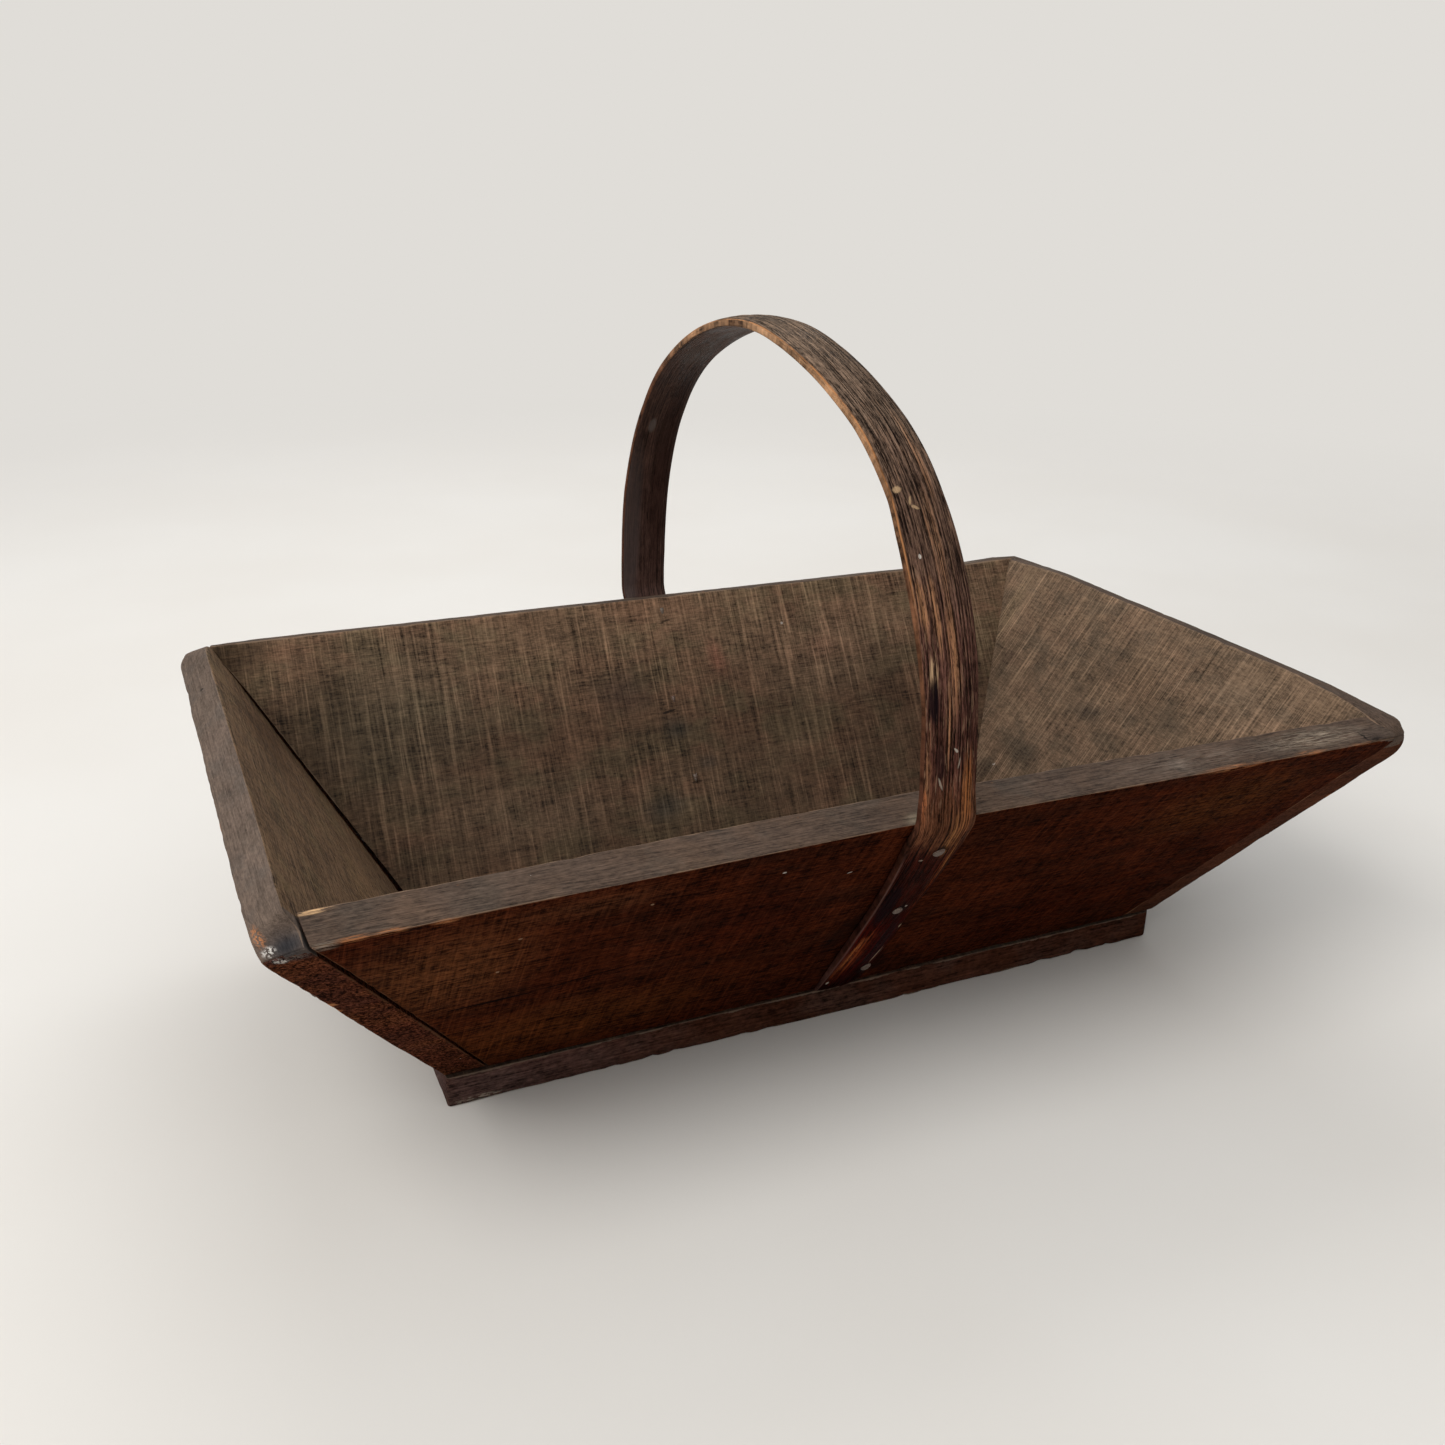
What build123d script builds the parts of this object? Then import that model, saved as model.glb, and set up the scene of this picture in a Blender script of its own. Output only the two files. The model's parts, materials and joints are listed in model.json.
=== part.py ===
from build123d import *
import math
import os

os.makedirs("parts", exist_ok=True)

# Garden trug of nailed boards with one bentwood hoop, in millimetres.
# +X runs along its length, +Y to the back, +Z up. The origin is on the table, under its middle.

# Body
trug_length = 490.0
trug_width = 314.0
base_length = 350.0
base_width = 161.0
base_thickness = 14.0
base_lip = 1.5
side_thickness = 17.5
end_thickness = 14.5
side_rim_outer_height = 128.0
side_rim_inner_height = 130.5
end_rim_outer_height = 127.5
end_rim_inner_height = 133.5
corner_seam = 0.3

# Worn edges, and the four tips of the rim, each worn by its own amount
rim_edge_bevel = 0.9
left_front_tip_radius = 3.0
right_front_tip_radius = 15.0
left_back_tip_radius = 14.0
right_back_tip_radius = 9.0
tip_wear_length = 36.0
base_corner_radius = 4.0
base_lower_bevel = 1.2
base_upper_bevel = 0.6

# Hoop
hoop_height = 290.5
hoop_width = 22.4
hoop_thickness = 5.0
hoop_edge_thickness = 3.2
rim_bend_radius = 12.0
haunch_radius_share = 1.06
shoulder_radius_share = 0.728
haunch_turn = 25.0
shoulder_turn = 34.0
foot_clearance = 0.3
foot_middle_width = 20.8
foot_tip_width = 16.5
foot_taper_start = 112.0
foot_tip_start = 34.0
foot_tip_thickness = 2.4
foot_paring_length = 34.0

# Nails
nail_diameter = 2.2
nail_head_diameter = 4.7
nail_head_thickness = 1.0
nail_point_length = 3.0
nail_point_diameter = 0.6
nail_sides = 12
nail_hole_clearance = 0.05
hoop_nail_seat = 1.1
clench_length = 5.0
clench_gap = 0.05
corner_nail_length = 32.0
corner_nail_recess = 0.2
base_nail_length = 27.0
base_nail_recess = 0.4
base_nail_side_inset = 7.5
base_nail_end_inset = 5.5
base_nail_corner_inset = 32.0
base_nails_per_side = 4
base_nails_per_end = 2
base_nail_end_spacing = 70.0
corner_nail_aim_share = 0.67

# Places of the nails in the hoop's feet, as (along the trug, height), and in the corners, as heights
front_foot_nails = [(-3.0, 116.5), (-2.5, 80.0), (3.5, 32.0)]
back_foot_nails = [(1.0, 116.5), (-3.5, 76.0), (-1.0, 40.0)]
corner_nail_heights = [32.0, 66.0, 98.0]

overrun = 20.0
half_turn = 180.0
quarter_turn = 90.0

# Worked-out sizes. "Out" is the distance from the middle plane of the trug.
floor_height = base_thickness
side_foot_out = base_width / 2 - base_lip
side_rim_out = trug_width / 2
end_foot_out = base_length / 2
end_rim_out = trug_length / 2
side_slope = (side_rim_out - side_foot_out) / (side_rim_outer_height - floor_height)
end_slope = (end_rim_out - end_foot_out) / (end_rim_outer_height - floor_height)
side_lean = math.degrees(math.atan(side_slope))
end_lean = math.degrees(math.atan(end_slope))
side_band = side_thickness / math.cos(math.radians(side_lean))
end_band = end_thickness / math.cos(math.radians(end_lean))
rim_top = max(side_rim_inner_height, end_rim_inner_height) + overrun
nail_hole_diameter = nail_diameter + 2 * nail_hole_clearance
head_seat_diameter = nail_head_diameter + 2 * nail_hole_clearance
hoop_reach = side_rim_out + overrun


def side_out(height):
    """Distance of a long board's outer face from the middle plane, at a height."""
    return side_foot_out + side_slope * (height - floor_height)


def end_out(height):
    """Distance of an end board's outer face from the middle plane, at a height."""
    return end_foot_out + end_slope * (height - floor_height)


def board_section(out, band, rim_outer, rim_inner):
    """Corners of a leaning board's section, as (out, height), from the lower outer one round."""
    return [
        (out(floor_height), floor_height),
        (out(rim_outer), rim_outer),
        (out(rim_inner) - band, rim_inner),
        (out(floor_height) - band, floor_height),
    ]


def spread(out, inset):
    """Corners of the tapered space between two facing planes that lean outwards."""
    low = out(floor_height) - inset
    high = out(rim_top) - inset
    return [(-low, floor_height), (low, floor_height), (high, rim_top), (-high, rim_top)]


def across_trug(corners, depth):
    """Prism along Y, depth to either side, from corners given as (x, z)."""
    outline = Polyline(*[(x, 0, z) for x, z in corners], close=True)
    return extrude(make_face(outline), amount=depth, dir=(0, 1, 0), both=True)


def along_trug(corners, depth):
    """Prism along X, depth to either side, from corners given as (y, z)."""
    outline = Polyline(*[(0, y, z) for y, z in corners], close=True)
    return extrude(make_face(outline), amount=depth, dir=(1, 0, 0), both=True)


def turned(shapes):
    """The same shapes, turned half way round to the other side of the trug."""
    return [Rot(0, 0, half_turn) * shape for shape in shapes]


def tip_wear(radius):
    """What is worn off a long board beside the front right tip, so that it runs on from the end board's."""
    rim = end_rim_inner_height
    tip, foot = (Vector(end_out(z) - end_band, -side_out(z), z) for z in (rim, floor_height))
    along_rim = Vector(0, 1, 0)
    along_edge = (foot - tip).normalized()
    half = math.acos(along_rim.dot(along_edge)) / 2
    inward = (along_rim + along_edge).normalized()
    reach = radius / math.tan(half)
    rim_end, edge_end = tip + along_rim * reach, tip + along_edge * reach
    middle = tip + inward * (radius / math.sin(half) - radius)
    outside = [edge_end - along_rim * overrun, tip - inward * overrun, rim_end - along_edge * overrun]
    outline = [ThreePointArc(rim_end, middle, edge_end), Polyline(edge_end, *outside, rim_end)]
    fading = Vector(-tip_wear_length, 0, 0) + (tip - middle)
    return extrude(make_face(outline), amount=fading.length, dir=fading)


# Long boards: their ends butt against the inner faces of the end boards.
def long_board(left_tip_radius, right_tip_radius):
    """The front board, before its nail holes are drilled."""
    section = board_section(side_out, side_band, side_rim_outer_height, side_rim_inner_height)
    board = along_trug([(-out, height) for out, height in section], end_rim_out + overrun)
    board = board & across_trug(spread(end_out, end_band + corner_seam), side_rim_out + overrun)
    rim_edges = board.edges().filter_by(Axis.X).sort_by(Axis.Z)[-2:]
    board = chamfer(rim_edges, rim_edge_bevel)
    return board - tip_wear(right_tip_radius) - mirror(tip_wear(left_tip_radius), Plane.YZ)


# End boards: they cap the long boards, flush with their outer faces.
def end_board(front_tip_radius, back_tip_radius):
    """The right end board, before its nail holes are drilled."""
    section = board_section(end_out, end_band, end_rim_outer_height, end_rim_inner_height)
    board = across_trug(section, side_rim_out + overrun)
    board = board & along_trug(spread(side_out, 0), end_rim_out + overrun)
    for end, radius in ((0, front_tip_radius), (-1, back_tip_radius)):
        top = board.faces().sort_by(Axis.Z)[-1]
        board = fillet(top.edges().filter_by(Axis.Y, reverse=True).sort_by(Axis.Y)[end], radius)
    rim_edges = board.edges().filter_by(Axis.Y).sort_by(Axis.Z)[-2:]
    return chamfer(rim_edges, rim_edge_bevel)


def bottom_board():
    """The flat bottom board, with worn corners and a flush-nailed underside."""
    board = Pos(0, 0, base_thickness / 2) * Box(base_length, base_width, base_thickness)
    board = fillet(board.edges().filter_by(Axis.Z), base_corner_radius)
    board = chamfer(board.faces().sort_by(Axis.Z)[0].edges(), base_lower_bevel)
    return chamfer(board.faces().sort_by(Axis.Z)[-1].edges(), base_upper_bevel)


# Hoop: its middle line, in the plane x = 0, from the front foot over the top to the back foot
def hoop_half_line():
    """Middle line of the front half of the hoop, as its pieces from the foot to the crown."""
    lean = math.radians(side_lean)
    outward = Vector(0, -math.cos(lean), -math.sin(lean))
    upward = Vector(0, -math.sin(lean), math.cos(lean))
    offset = outward * (hoop_thickness / 2)
    foot_start = floor_height - overrun / 2
    foot = Vector(0, -side_out(foot_start), foot_start) + offset
    rim = Vector(0, -side_rim_out, side_rim_outer_height) + offset
    bend_centre = rim - outward * rim_bend_radius
    leg_foot = bend_centre + Vector(0, -rim_bend_radius, 0)
    half_span = -leg_foot.Y
    haunch_radius = haunch_radius_share * half_span
    shoulder_radius = shoulder_radius_share * half_span
    haunch = math.radians(haunch_turn)
    shoulder = math.radians(haunch_turn + shoulder_turn)
    shoulder_out = half_span - haunch_radius * (1 - math.cos(haunch))
    crown_out = shoulder_out - shoulder_radius * (math.cos(haunch) - math.cos(shoulder))
    crown_radius = crown_out / math.cos(shoulder)
    haunch_rise = haunch_radius * math.sin(haunch)
    shoulder_rise = haunch_rise + shoulder_radius * (math.sin(shoulder) - math.sin(haunch))
    rise = shoulder_rise + crown_radius * (1 - math.sin(shoulder))
    spring_height = hoop_height - hoop_thickness / 2 - rise
    leg_top = Vector(0, -half_span, spring_height)
    shoulder_start = Vector(0, -shoulder_out, spring_height + haunch_rise)
    crown_start = Vector(0, -crown_out, spring_height + shoulder_rise)
    crown = Vector(0, 0, spring_height + rise)
    return [
        Line(foot, rim),
        TangentArc(rim, leg_foot, tangent=upward),
        Line(leg_foot, leg_top),
        TangentArc(leg_top, shoulder_start, tangent=(0, 0, 1)),
        TangentArc(shoulder_start, crown_start, tangent=(0, math.sin(haunch), math.cos(haunch))),
        TangentArc(crown_start, crown, tangent=(0, math.sin(shoulder), math.cos(shoulder))),
    ]


def strip_section():
    """The strip's section: flat on the side of the trug, domed outside."""
    half_width = hoop_width / 2
    flat = hoop_thickness / 2
    edge = flat - hoop_edge_thickness
    outline = Polyline((-half_width, edge), (-half_width, flat), (half_width, flat), (half_width, edge))
    dome = ThreePointArc((half_width, edge), (0, -flat), (-half_width, edge))
    return make_face([outline, dome])


def foot_thickness(height):
    """Thickness of the foot's middle at a height: full above, pared towards the tip."""
    share = (height - floor_height - foot_clearance) / foot_paring_length
    return foot_tip_thickness + min(share, 1) * (hoop_thickness - foot_tip_thickness)


def foot_cuts():
    """What is pared off the front foot: both flanks, the thin tip, and the end over the bottom board."""
    lean = math.radians(side_lean)
    outward = (0, -math.cos(lean), -math.sin(lean))
    face = Plane(origin=(0, -side_foot_out, floor_height), x_dir=(1, 0, 0), z_dir=outward)
    tip_start = (foot_tip_start - floor_height) / math.cos(lean)
    taper_start = (foot_taper_start - floor_height) / math.cos(lean)
    wide = hoop_width / 2
    flank = Polyline(
        (foot_tip_width / 2, 0),
        (foot_middle_width / 2, tip_start),
        (wide, taper_start),
        (wide + overrun, taper_start),
        (wide + overrun, -overrun),
        (foot_tip_width / 2, -overrun),
        close=True,
    )
    flank = extrude(face * make_face(flank), amount=overrun, both=True)
    low = floor_height + foot_clearance
    high = low + foot_paring_length
    tip_out = side_out(low) + foot_tip_thickness / math.cos(lean)
    full_out = side_out(high) + hoop_thickness / math.cos(lean)
    paring = [(-tip_out, low), (-full_out, high), (-hoop_reach, high), (-hoop_reach, low)]
    below = [(-hoop_reach, -overrun), (0, -overrun), (0, low), (-hoop_reach, low)]
    return [
        flank,
        mirror(flank, Plane.YZ),
        along_trug(paring, wide + overrun),
        along_trug(below, wide + overrun),
    ]


def handle_hoop():
    """The bent strip, before its nail holes are drilled."""
    half = hoop_half_line()
    front = Curve() + half
    path = Wire((front + mirror(front, Plane.XZ)).edges())
    start = Plane(origin=half[0] @ 0, x_dir=(1, 0, 0), z_dir=half[0] % 0)
    hoop = sweep(start * strip_section(), path=path)
    cuts = foot_cuts()
    return hoop - cuts - [mirror(cut, Plane.XZ) for cut in cuts]


# Nails: each stands head up along +Z, with the underside of its head at the origin
def rod(diameter, low, high):
    """A round bar along Z, with nail_sides faces, from low to high."""
    return Pos(0, 0, low) * extrude(RegularPolygon(diameter / 2, nail_sides), amount=high - low)


def taper(diameter, length, end_diameter):
    """A round bar from the origin down -Z, tapered to end_diameter."""
    narrowing = math.degrees(math.atan((diameter - end_diameter) / 2 / length))
    return extrude(RegularPolygon(diameter / 2, nail_sides), amount=length, dir=(0, 0, -1), taper=narrowing)


def nail(length):
    """A straight nail with a point."""
    shoulder = nail_point_length - length
    head = rod(nail_head_diameter, 0, nail_head_thickness)
    point = taper(nail_diameter, nail_point_length, nail_point_diameter)
    return head + rod(nail_diameter, shoulder, 0) + Pos(0, 0, shoulder) * point


def clenched_nail(length):
    """A nail whose point is bent over flat, towards -Y, at a length under its head."""
    path = Polyline((0, 0, 0), (0, 0, -length), (0, nail_point_length - clench_length, -length))
    shank = sweep(RegularPolygon(nail_diameter / 2, nail_sides), path=path, transition=Transition.RIGHT)
    point = taper(nail_diameter, nail_point_length, nail_point_diameter)
    point = Pos(0, nail_point_length - clench_length, -length) * Rot(-quarter_turn, 0, 0) * point
    return rod(nail_head_diameter, 0, nail_head_thickness) + shank + point


def nail_hole(length):
    """The hole for a nail, from its head's underside down to its length."""
    return rod(nail_hole_diameter, -length - nail_hole_clearance, 0)


def head_seat(depth):
    """The seat that a nail's head sinks into, cut from its underside outwards."""
    return rod(head_seat_diameter, 0, depth)


def foot_nails(places):
    """Clenched nails of a front foot, with the holes and head seats that they need."""
    lean = math.radians(side_lean)
    outward = Vector(0, -math.cos(lean), -math.sin(lean))
    nails = []
    holes = []
    for along, height in places:
        seat = foot_thickness(height) - hoop_nail_seat
        clench_depth = seat + side_thickness + nail_diameter / 2 + clench_gap
        origin = Vector(along, -side_out(height), height) + outward * seat
        frame = Plane(origin=origin, x_dir=(1, 0, 0), z_dir=outward)
        nails.append(frame * clenched_nail(clench_depth))
        holes += [frame * nail_hole(clench_depth), frame * head_seat(overrun)]
    return nails, holes


def corner_nails(side):
    """Nails through the right end board into the front (-1) or back (1) board's end, with holes and seats."""
    lean = math.radians(end_lean)
    outward = Vector(math.cos(lean), 0, -math.sin(lean))
    rise = corner_nail_length * math.sin(lean) * corner_nail_aim_share
    seat = corner_nail_recess + nail_head_thickness
    nails = []
    holes = []
    for height in corner_nail_heights:
        middle = side_out(height + rise) - side_band / 2
        origin = Vector(end_out(height), side * middle, height) - outward * seat
        frame = Plane(origin=origin, x_dir=(0, 1, 0), z_dir=outward)
        nails.append(frame * nail(corner_nail_length))
        holes += [frame * nail_hole(corner_nail_length), frame * head_seat(overrun)]
    return nails, holes


def base_nails(places):
    """Nails up through the bottom board, heads just inside its underside, with their holes and seats."""
    seat = base_nail_recess + nail_head_thickness
    frames = [Plane(origin=(x, y, seat), x_dir=(1, 0, 0), z_dir=(0, 0, -1)) for x, y in places]
    nails = [frame * nail(base_nail_length) for frame in frames]
    holes = [frame * nail_hole(base_nail_length) for frame in frames]
    return nails, holes + [frame * head_seat(overrun) for frame in frames]


def evenly(count, reach):
    """Places from minus reach to reach, evenly spaced."""
    return [reach * (2 * i / (count - 1) - 1) for i in range(count)]


def group(name, solids):
    """Write like pieces as one sub-part, each a solid of its own."""
    export_step(Compound(label=name, children=list(solids)), f"parts/{name}.step")


def write(name, shape):
    """Write a one-piece sub-part."""
    solid = shape.solids()[0]
    solid.label = name
    export_step(solid, f"parts/{name}.step")


# Nails and their holes. What serves the front and right boards is turned for the back and left ones.
foot_front, foot_front_holes = foot_nails(front_foot_nails)
back_places = [(-along, height) for along, height in back_foot_nails]
foot_back, foot_back_holes = map(turned, foot_nails(back_places))
corner_front_right, corner_front_right_holes = corner_nails(-1)
corner_back_right, corner_back_right_holes = corner_nails(1)
corner_back_left, corner_back_left_holes = map(turned, (corner_front_right, corner_front_right_holes))
corner_front_left, corner_front_left_holes = map(turned, (corner_back_right, corner_back_right_holes))
side_nail_out = side_foot_out - base_nail_side_inset
end_nail_out = end_foot_out - base_nail_end_inset
side_nail_reach = base_length / 2 - base_nail_corner_inset
side_nail_places = [(x, -side_nail_out) for x in evenly(base_nails_per_side, side_nail_reach)]
end_nail_places = [(end_nail_out, y) for y in evenly(base_nails_per_end, base_nail_end_spacing / 2)]
base_front, base_front_holes = base_nails(side_nail_places)
base_right, base_right_holes = base_nails(end_nail_places)
base_back, base_back_holes = map(turned, (base_front, base_front_holes))
base_left, base_left_holes = map(turned, (base_right, base_right_holes))

# Wooden pieces
base_holes = base_front_holes + base_back_holes + base_left_holes + base_right_holes
write("bottom_board", bottom_board() - base_holes)
front_holes = foot_front_holes + corner_front_left_holes + corner_front_right_holes + base_front_holes
front_board = long_board(left_front_tip_radius, right_front_tip_radius)
write("front_board", front_board - front_holes)
back_holes = foot_back_holes + corner_back_left_holes + corner_back_right_holes + base_back_holes
back_board = turned([long_board(right_back_tip_radius, left_back_tip_radius)])[0]
write("back_board", back_board - back_holes)
right_holes = corner_front_right_holes + corner_back_right_holes + base_right_holes
right_end_board = end_board(right_front_tip_radius, right_back_tip_radius)
write("right_end_board", right_end_board - right_holes)
left_holes = corner_front_left_holes + corner_back_left_holes + base_left_holes
left_end_board = turned([end_board(left_back_tip_radius, left_front_tip_radius)])[0]
write("left_end_board", left_end_board - left_holes)
write("handle_hoop", handle_hoop() - foot_front_holes - foot_back_holes)

# Nails
group("handle_nails_front", foot_front)
group("handle_nails_back", foot_back)
group("corner_nails_front_left", corner_front_left)
group("corner_nails_front_right", corner_front_right)
group("corner_nails_back_left", corner_back_left)
group("corner_nails_back_right", corner_back_right)
group("base_nails_front", base_front)
group("base_nails_back", base_back)
group("base_nails_left", base_left)
group("base_nails_right", base_right)
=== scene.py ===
import functools
import json
import math

import bpy
import numpy as np
from mathutils import Matrix, Vector

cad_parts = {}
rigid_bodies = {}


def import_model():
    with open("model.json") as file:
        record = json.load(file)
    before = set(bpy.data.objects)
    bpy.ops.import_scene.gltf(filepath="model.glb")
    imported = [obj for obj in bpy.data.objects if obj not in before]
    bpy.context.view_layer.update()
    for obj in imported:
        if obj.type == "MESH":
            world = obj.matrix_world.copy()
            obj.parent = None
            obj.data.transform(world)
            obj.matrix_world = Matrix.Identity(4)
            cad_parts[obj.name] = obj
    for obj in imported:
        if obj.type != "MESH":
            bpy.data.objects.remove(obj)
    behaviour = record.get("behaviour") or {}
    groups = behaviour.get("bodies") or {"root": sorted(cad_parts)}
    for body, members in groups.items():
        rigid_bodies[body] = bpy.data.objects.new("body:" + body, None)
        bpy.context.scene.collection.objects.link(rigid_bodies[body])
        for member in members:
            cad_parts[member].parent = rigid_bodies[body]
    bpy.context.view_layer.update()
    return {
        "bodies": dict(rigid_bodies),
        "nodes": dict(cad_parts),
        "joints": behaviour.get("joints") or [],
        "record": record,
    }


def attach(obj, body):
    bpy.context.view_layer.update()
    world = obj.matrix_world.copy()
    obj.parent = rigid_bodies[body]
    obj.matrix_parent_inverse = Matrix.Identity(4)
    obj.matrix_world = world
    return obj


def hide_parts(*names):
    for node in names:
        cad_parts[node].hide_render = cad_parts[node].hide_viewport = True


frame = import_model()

MM = 0.001

# The trug's sizes in millimetres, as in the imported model
FLOOR = 14.0
BASE_HALF_LENGTH = 175.0
BASE_HALF_WIDTH = 80.5
SIDE_FOOT = 79.0
END_FOOT = 175.0
SIDE_SLOPE = 78.0 / 114.0
END_SLOPE = 70.0 / 113.5
SIDE_LEAN = math.atan(SIDE_SLOPE)
END_LEAN = math.atan(END_SLOPE)
SIDE_THICK = 17.5
END_THICK = 14.5
SIDE_BAND = SIDE_THICK / math.cos(SIDE_LEAN)
END_BAND = END_THICK / math.cos(END_LEAN)
SIDE_RIM = 128.2
RIM_HALF_WIDTH = 157.0
TRUG_REACH = 244.5
HOOP_TOP = 290.4
HOOP_REACH = 163.6

# Half lengths of the long boards and the end boards, in each board's own even measure
SIDE_HALF_LENGTH = 195.0
END_HALF_LENGTH = 118.0


def side_out(z):
    return SIDE_FOOT + SIDE_SLOPE * (z - FLOOR)


def end_out(z):
    return END_FOOT + END_SLOPE * (z - FLOOR)


# Smooth noise, the same on every run
def lattice(ix, iy, iz, seed):
    h = (ix * 374761393 + iy * 668265263 + iz * 1103515245 + seed * 974634777) & 0xFFFFFFFF
    h = ((h ^ (h >> 13)) * 1274126177) & 0xFFFFFFFF
    h = ((h ^ (h >> 15)) * 461845907) & 0xFFFFFFFF
    h ^= h >> 16
    return h / 2147483648.0 - 1.0


def noise(p, seed=0):
    p = np.asarray(p, float)
    i = np.floor(p).astype(np.int64)
    f = p - i
    f = f * f * f * (f * (f * 6 - 15) + 10)
    total = np.zeros(len(p))
    for dx in (0, 1):
        for dy in (0, 1):
            for dz in (0, 1):
                w = np.ones(len(p))
                for axis, d in enumerate((dx, dy, dz)):
                    w = w * (f[:, axis] if d else 1 - f[:, axis])
                total += w * lattice(i[:, 0] + dx, i[:, 1] + dy, i[:, 2] + dz, seed)
    return total


def fbm(p, octaves=3, seed=0, gain=0.5):
    total = np.zeros(len(p))
    size = 1.0
    for k in range(octaves):
        total += size * noise(np.asarray(p) * 2.0 ** k + 17.3 * k, seed + k)
        size *= gain
    return total


def smooth(x, lo, hi):
    t = np.clip((x - lo) / (hi - lo), 0, 1)
    return t * t * (3 - 2 * t)


# Materials. Colours are (red, green, blue) from 0 to 255, as a picture shows them.
# The first colour is near black: soot and dark pits, and also painted shadow by the hoop's feet and around its
# nails
SOOT_AND_SHADOW = (13, 10, 9)
WHITE = (196, 190, 182)
ORANGE = (168, 112, 74)


def srgb(*colour):
    """The linear colour that Blender works with, opaque."""
    lin = [c / 255 / 12.92 if c / 255 <= 0.04045 else ((c / 255 + 0.055) / 1.055) ** 2.4 for c in colour]
    return (*lin, 1.0)


class Nodes:
    """Short names for building a material's nodes."""

    def __init__(self, name):
        self.material = bpy.data.materials.new(name)
        self.material.use_nodes = True
        self.tree = self.material.node_tree
        self.tree.nodes.clear()
        self.shader = self.node("BsdfPrincipled")
        self.out = self.node("OutputMaterial", {0: self.shader.outputs[0]})

    def put(self, socket, value):
        if isinstance(value, bpy.types.NodeSocket):
            self.tree.links.new(value, socket)
        else:
            socket.default_value = value

    def node(self, kind, inputs=None, **settings):
        """A node with its settings, and what goes into its inputs, by name or number."""
        made = self.tree.nodes.new("ShaderNode" + kind)
        for key, value in settings.items():
            setattr(made, key, value)
        for key, value in (inputs or {}).items():
            self.put(made.inputs[key], value)
        return made

    def attribute(self, name, output):
        return self.node("Attribute", attribute_name=name).outputs[output]

    def separate(self, vector):
        return self.node("SeparateXYZ", {0: vector}).outputs

    def math(self, op, *values, clamp=False):
        return self.node("Math", dict(enumerate(values)), operation=op, use_clamp=clamp).outputs[0]

    def vector(self, op, *values, output=0):
        return self.node("VectorMath", dict(enumerate(values)), operation=op).outputs[output]

    def mul(self, *values):
        return functools.reduce(functools.partial(self.math, "MULTIPLY"), values)

    def add(self, *values):
        return functools.reduce(functools.partial(self.math, "ADD"), values)

    def less(self, a, b):
        return self.math("SUBTRACT", a, b)

    def span(self, value, lo, hi, to_lo=0.0, to_hi=1.0):
        """A smooth step from to_lo, where the value is lo, to to_hi, where it is hi."""
        ends = dict(enumerate((value, lo, hi, to_lo, to_hi)))
        return self.node("MapRange", ends, interpolation_type="SMOOTHSTEP").outputs[0]

    def mix(self, share, a, b):
        a, b = (c if isinstance(c, bpy.types.NodeSocket) else srgb(*c) for c in (a, b))
        return self.node("Mix", {0: share, 6: a, 7: b}, data_type="RGBA").outputs[2]

    def paint(self, colour, tint, *shares):
        """The colour with a tint over it, whose share is the product of the given ones."""
        return self.mix(self.mul(*shares), colour, tint)

    def scaled(self, colour, value):
        colour = colour if isinstance(colour, bpy.types.NodeSocket) else srgb(*colour)[:3]
        return self.node("VectorMath", {0: colour, "Scale": value}, operation="SCALE").outputs[0]

    def place(self, vector, scale=(1, 1, 1), turn=0.0, shift=(0, 0, 0)):
        inputs = {"Vector": vector, "Location": shift, "Rotation": (0, 0, turn), "Scale": scale}
        return self.node("Mapping", inputs).outputs[0]

    def noise(self, vector, scale, detail=2.0, rough=0.5, distort=0.0, output="Fac"):
        inputs = {"Vector": vector, "Scale": scale, "Detail": detail, "Roughness": rough, "Distortion": distort}
        return self.node("TexNoise", inputs).outputs[output]

    def cells(self, at, size, shift, detail=3.0, rough=0.6, turn=0.0, distort=0.0):
        """Noise with cells of one size, (along, across, deep) in millimetres. turn is in degrees."""
        if turn:
            at = self.place(at, turn=math.radians(turn))
        at = self.place(at, [1000.0 / s for s in size], 0.0, (shift, shift * 1.7, shift * 0.6))
        return self.noise(at, 1.0, detail, rough, distort)

    def layered(self, *layers):
        """One, varied by noises. Each layer is (noise, strength)."""
        out = 1.0 - 0.5 * sum(strength for _, strength in layers)
        for noise, strength in layers:
            out = self.math("MULTIPLY_ADD", noise, strength, out)
        return self.math("MAXIMUM", out, 0.12)

    def shaken(self, at, size, reach):
        """The same place, moved about at random by up to about reach, for uneven outlines. Both in millimetres."""
        noise = self.noise(self.place(at, [1000.0 / s for s in size]), 1.0, 3.0, 0.65, output="Color")
        off = self.vector("MULTIPLY_ADD", noise, [4 * r * MM for r in reach], [-2 * r * MM for r in reach])
        return self.vector("ADD", at, off)

    def mark(self, at, centre, reach, turn=0.0, soft=0.35):
        """A patch: 1 at its centre, 0 outside. Sizes are in millimetres, and turn is in degrees."""
        frame = {"Location": [v * MM for v in centre], "Rotation": (0, 0, math.radians(turn))}
        frame.update({"Vector": at, "Scale": [v * MM for v in reach]})
        near = self.node("Mapping", frame, vector_type="TEXTURE").outputs[0]
        return self.span(self.vector("LENGTH", near, output="Value"), 1.0, soft)

    def spots(self, at, cell, radius, share, shift=0.0):
        """Small spots, at most one to a cell, in a share of the cells. cell and radius are in millimetres."""
        at = self.place(at, (1000.0 / cell,) * 3, 0.0, (shift,) * 3)
        cells = self.node("TexVoronoi", {"Vector": at, "Scale": 1.0, "Randomness": 1.0}).outputs
        chance = self.node("SeparateColor", {0: cells["Color"]}).outputs
        size = self.math("MULTIPLY_ADD", chance[1], radius / cell, 0.35 * radius / cell)
        near = self.math("LESS_THAN", cells["Distance"], size)
        return self.mul(near, self.math("LESS_THAN", chance[0], share))

    def bump(self, height, strength, distance):
        return self.node("Bump", {"Strength": strength, "Distance": distance, "Height": height}).outputs[0]

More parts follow.
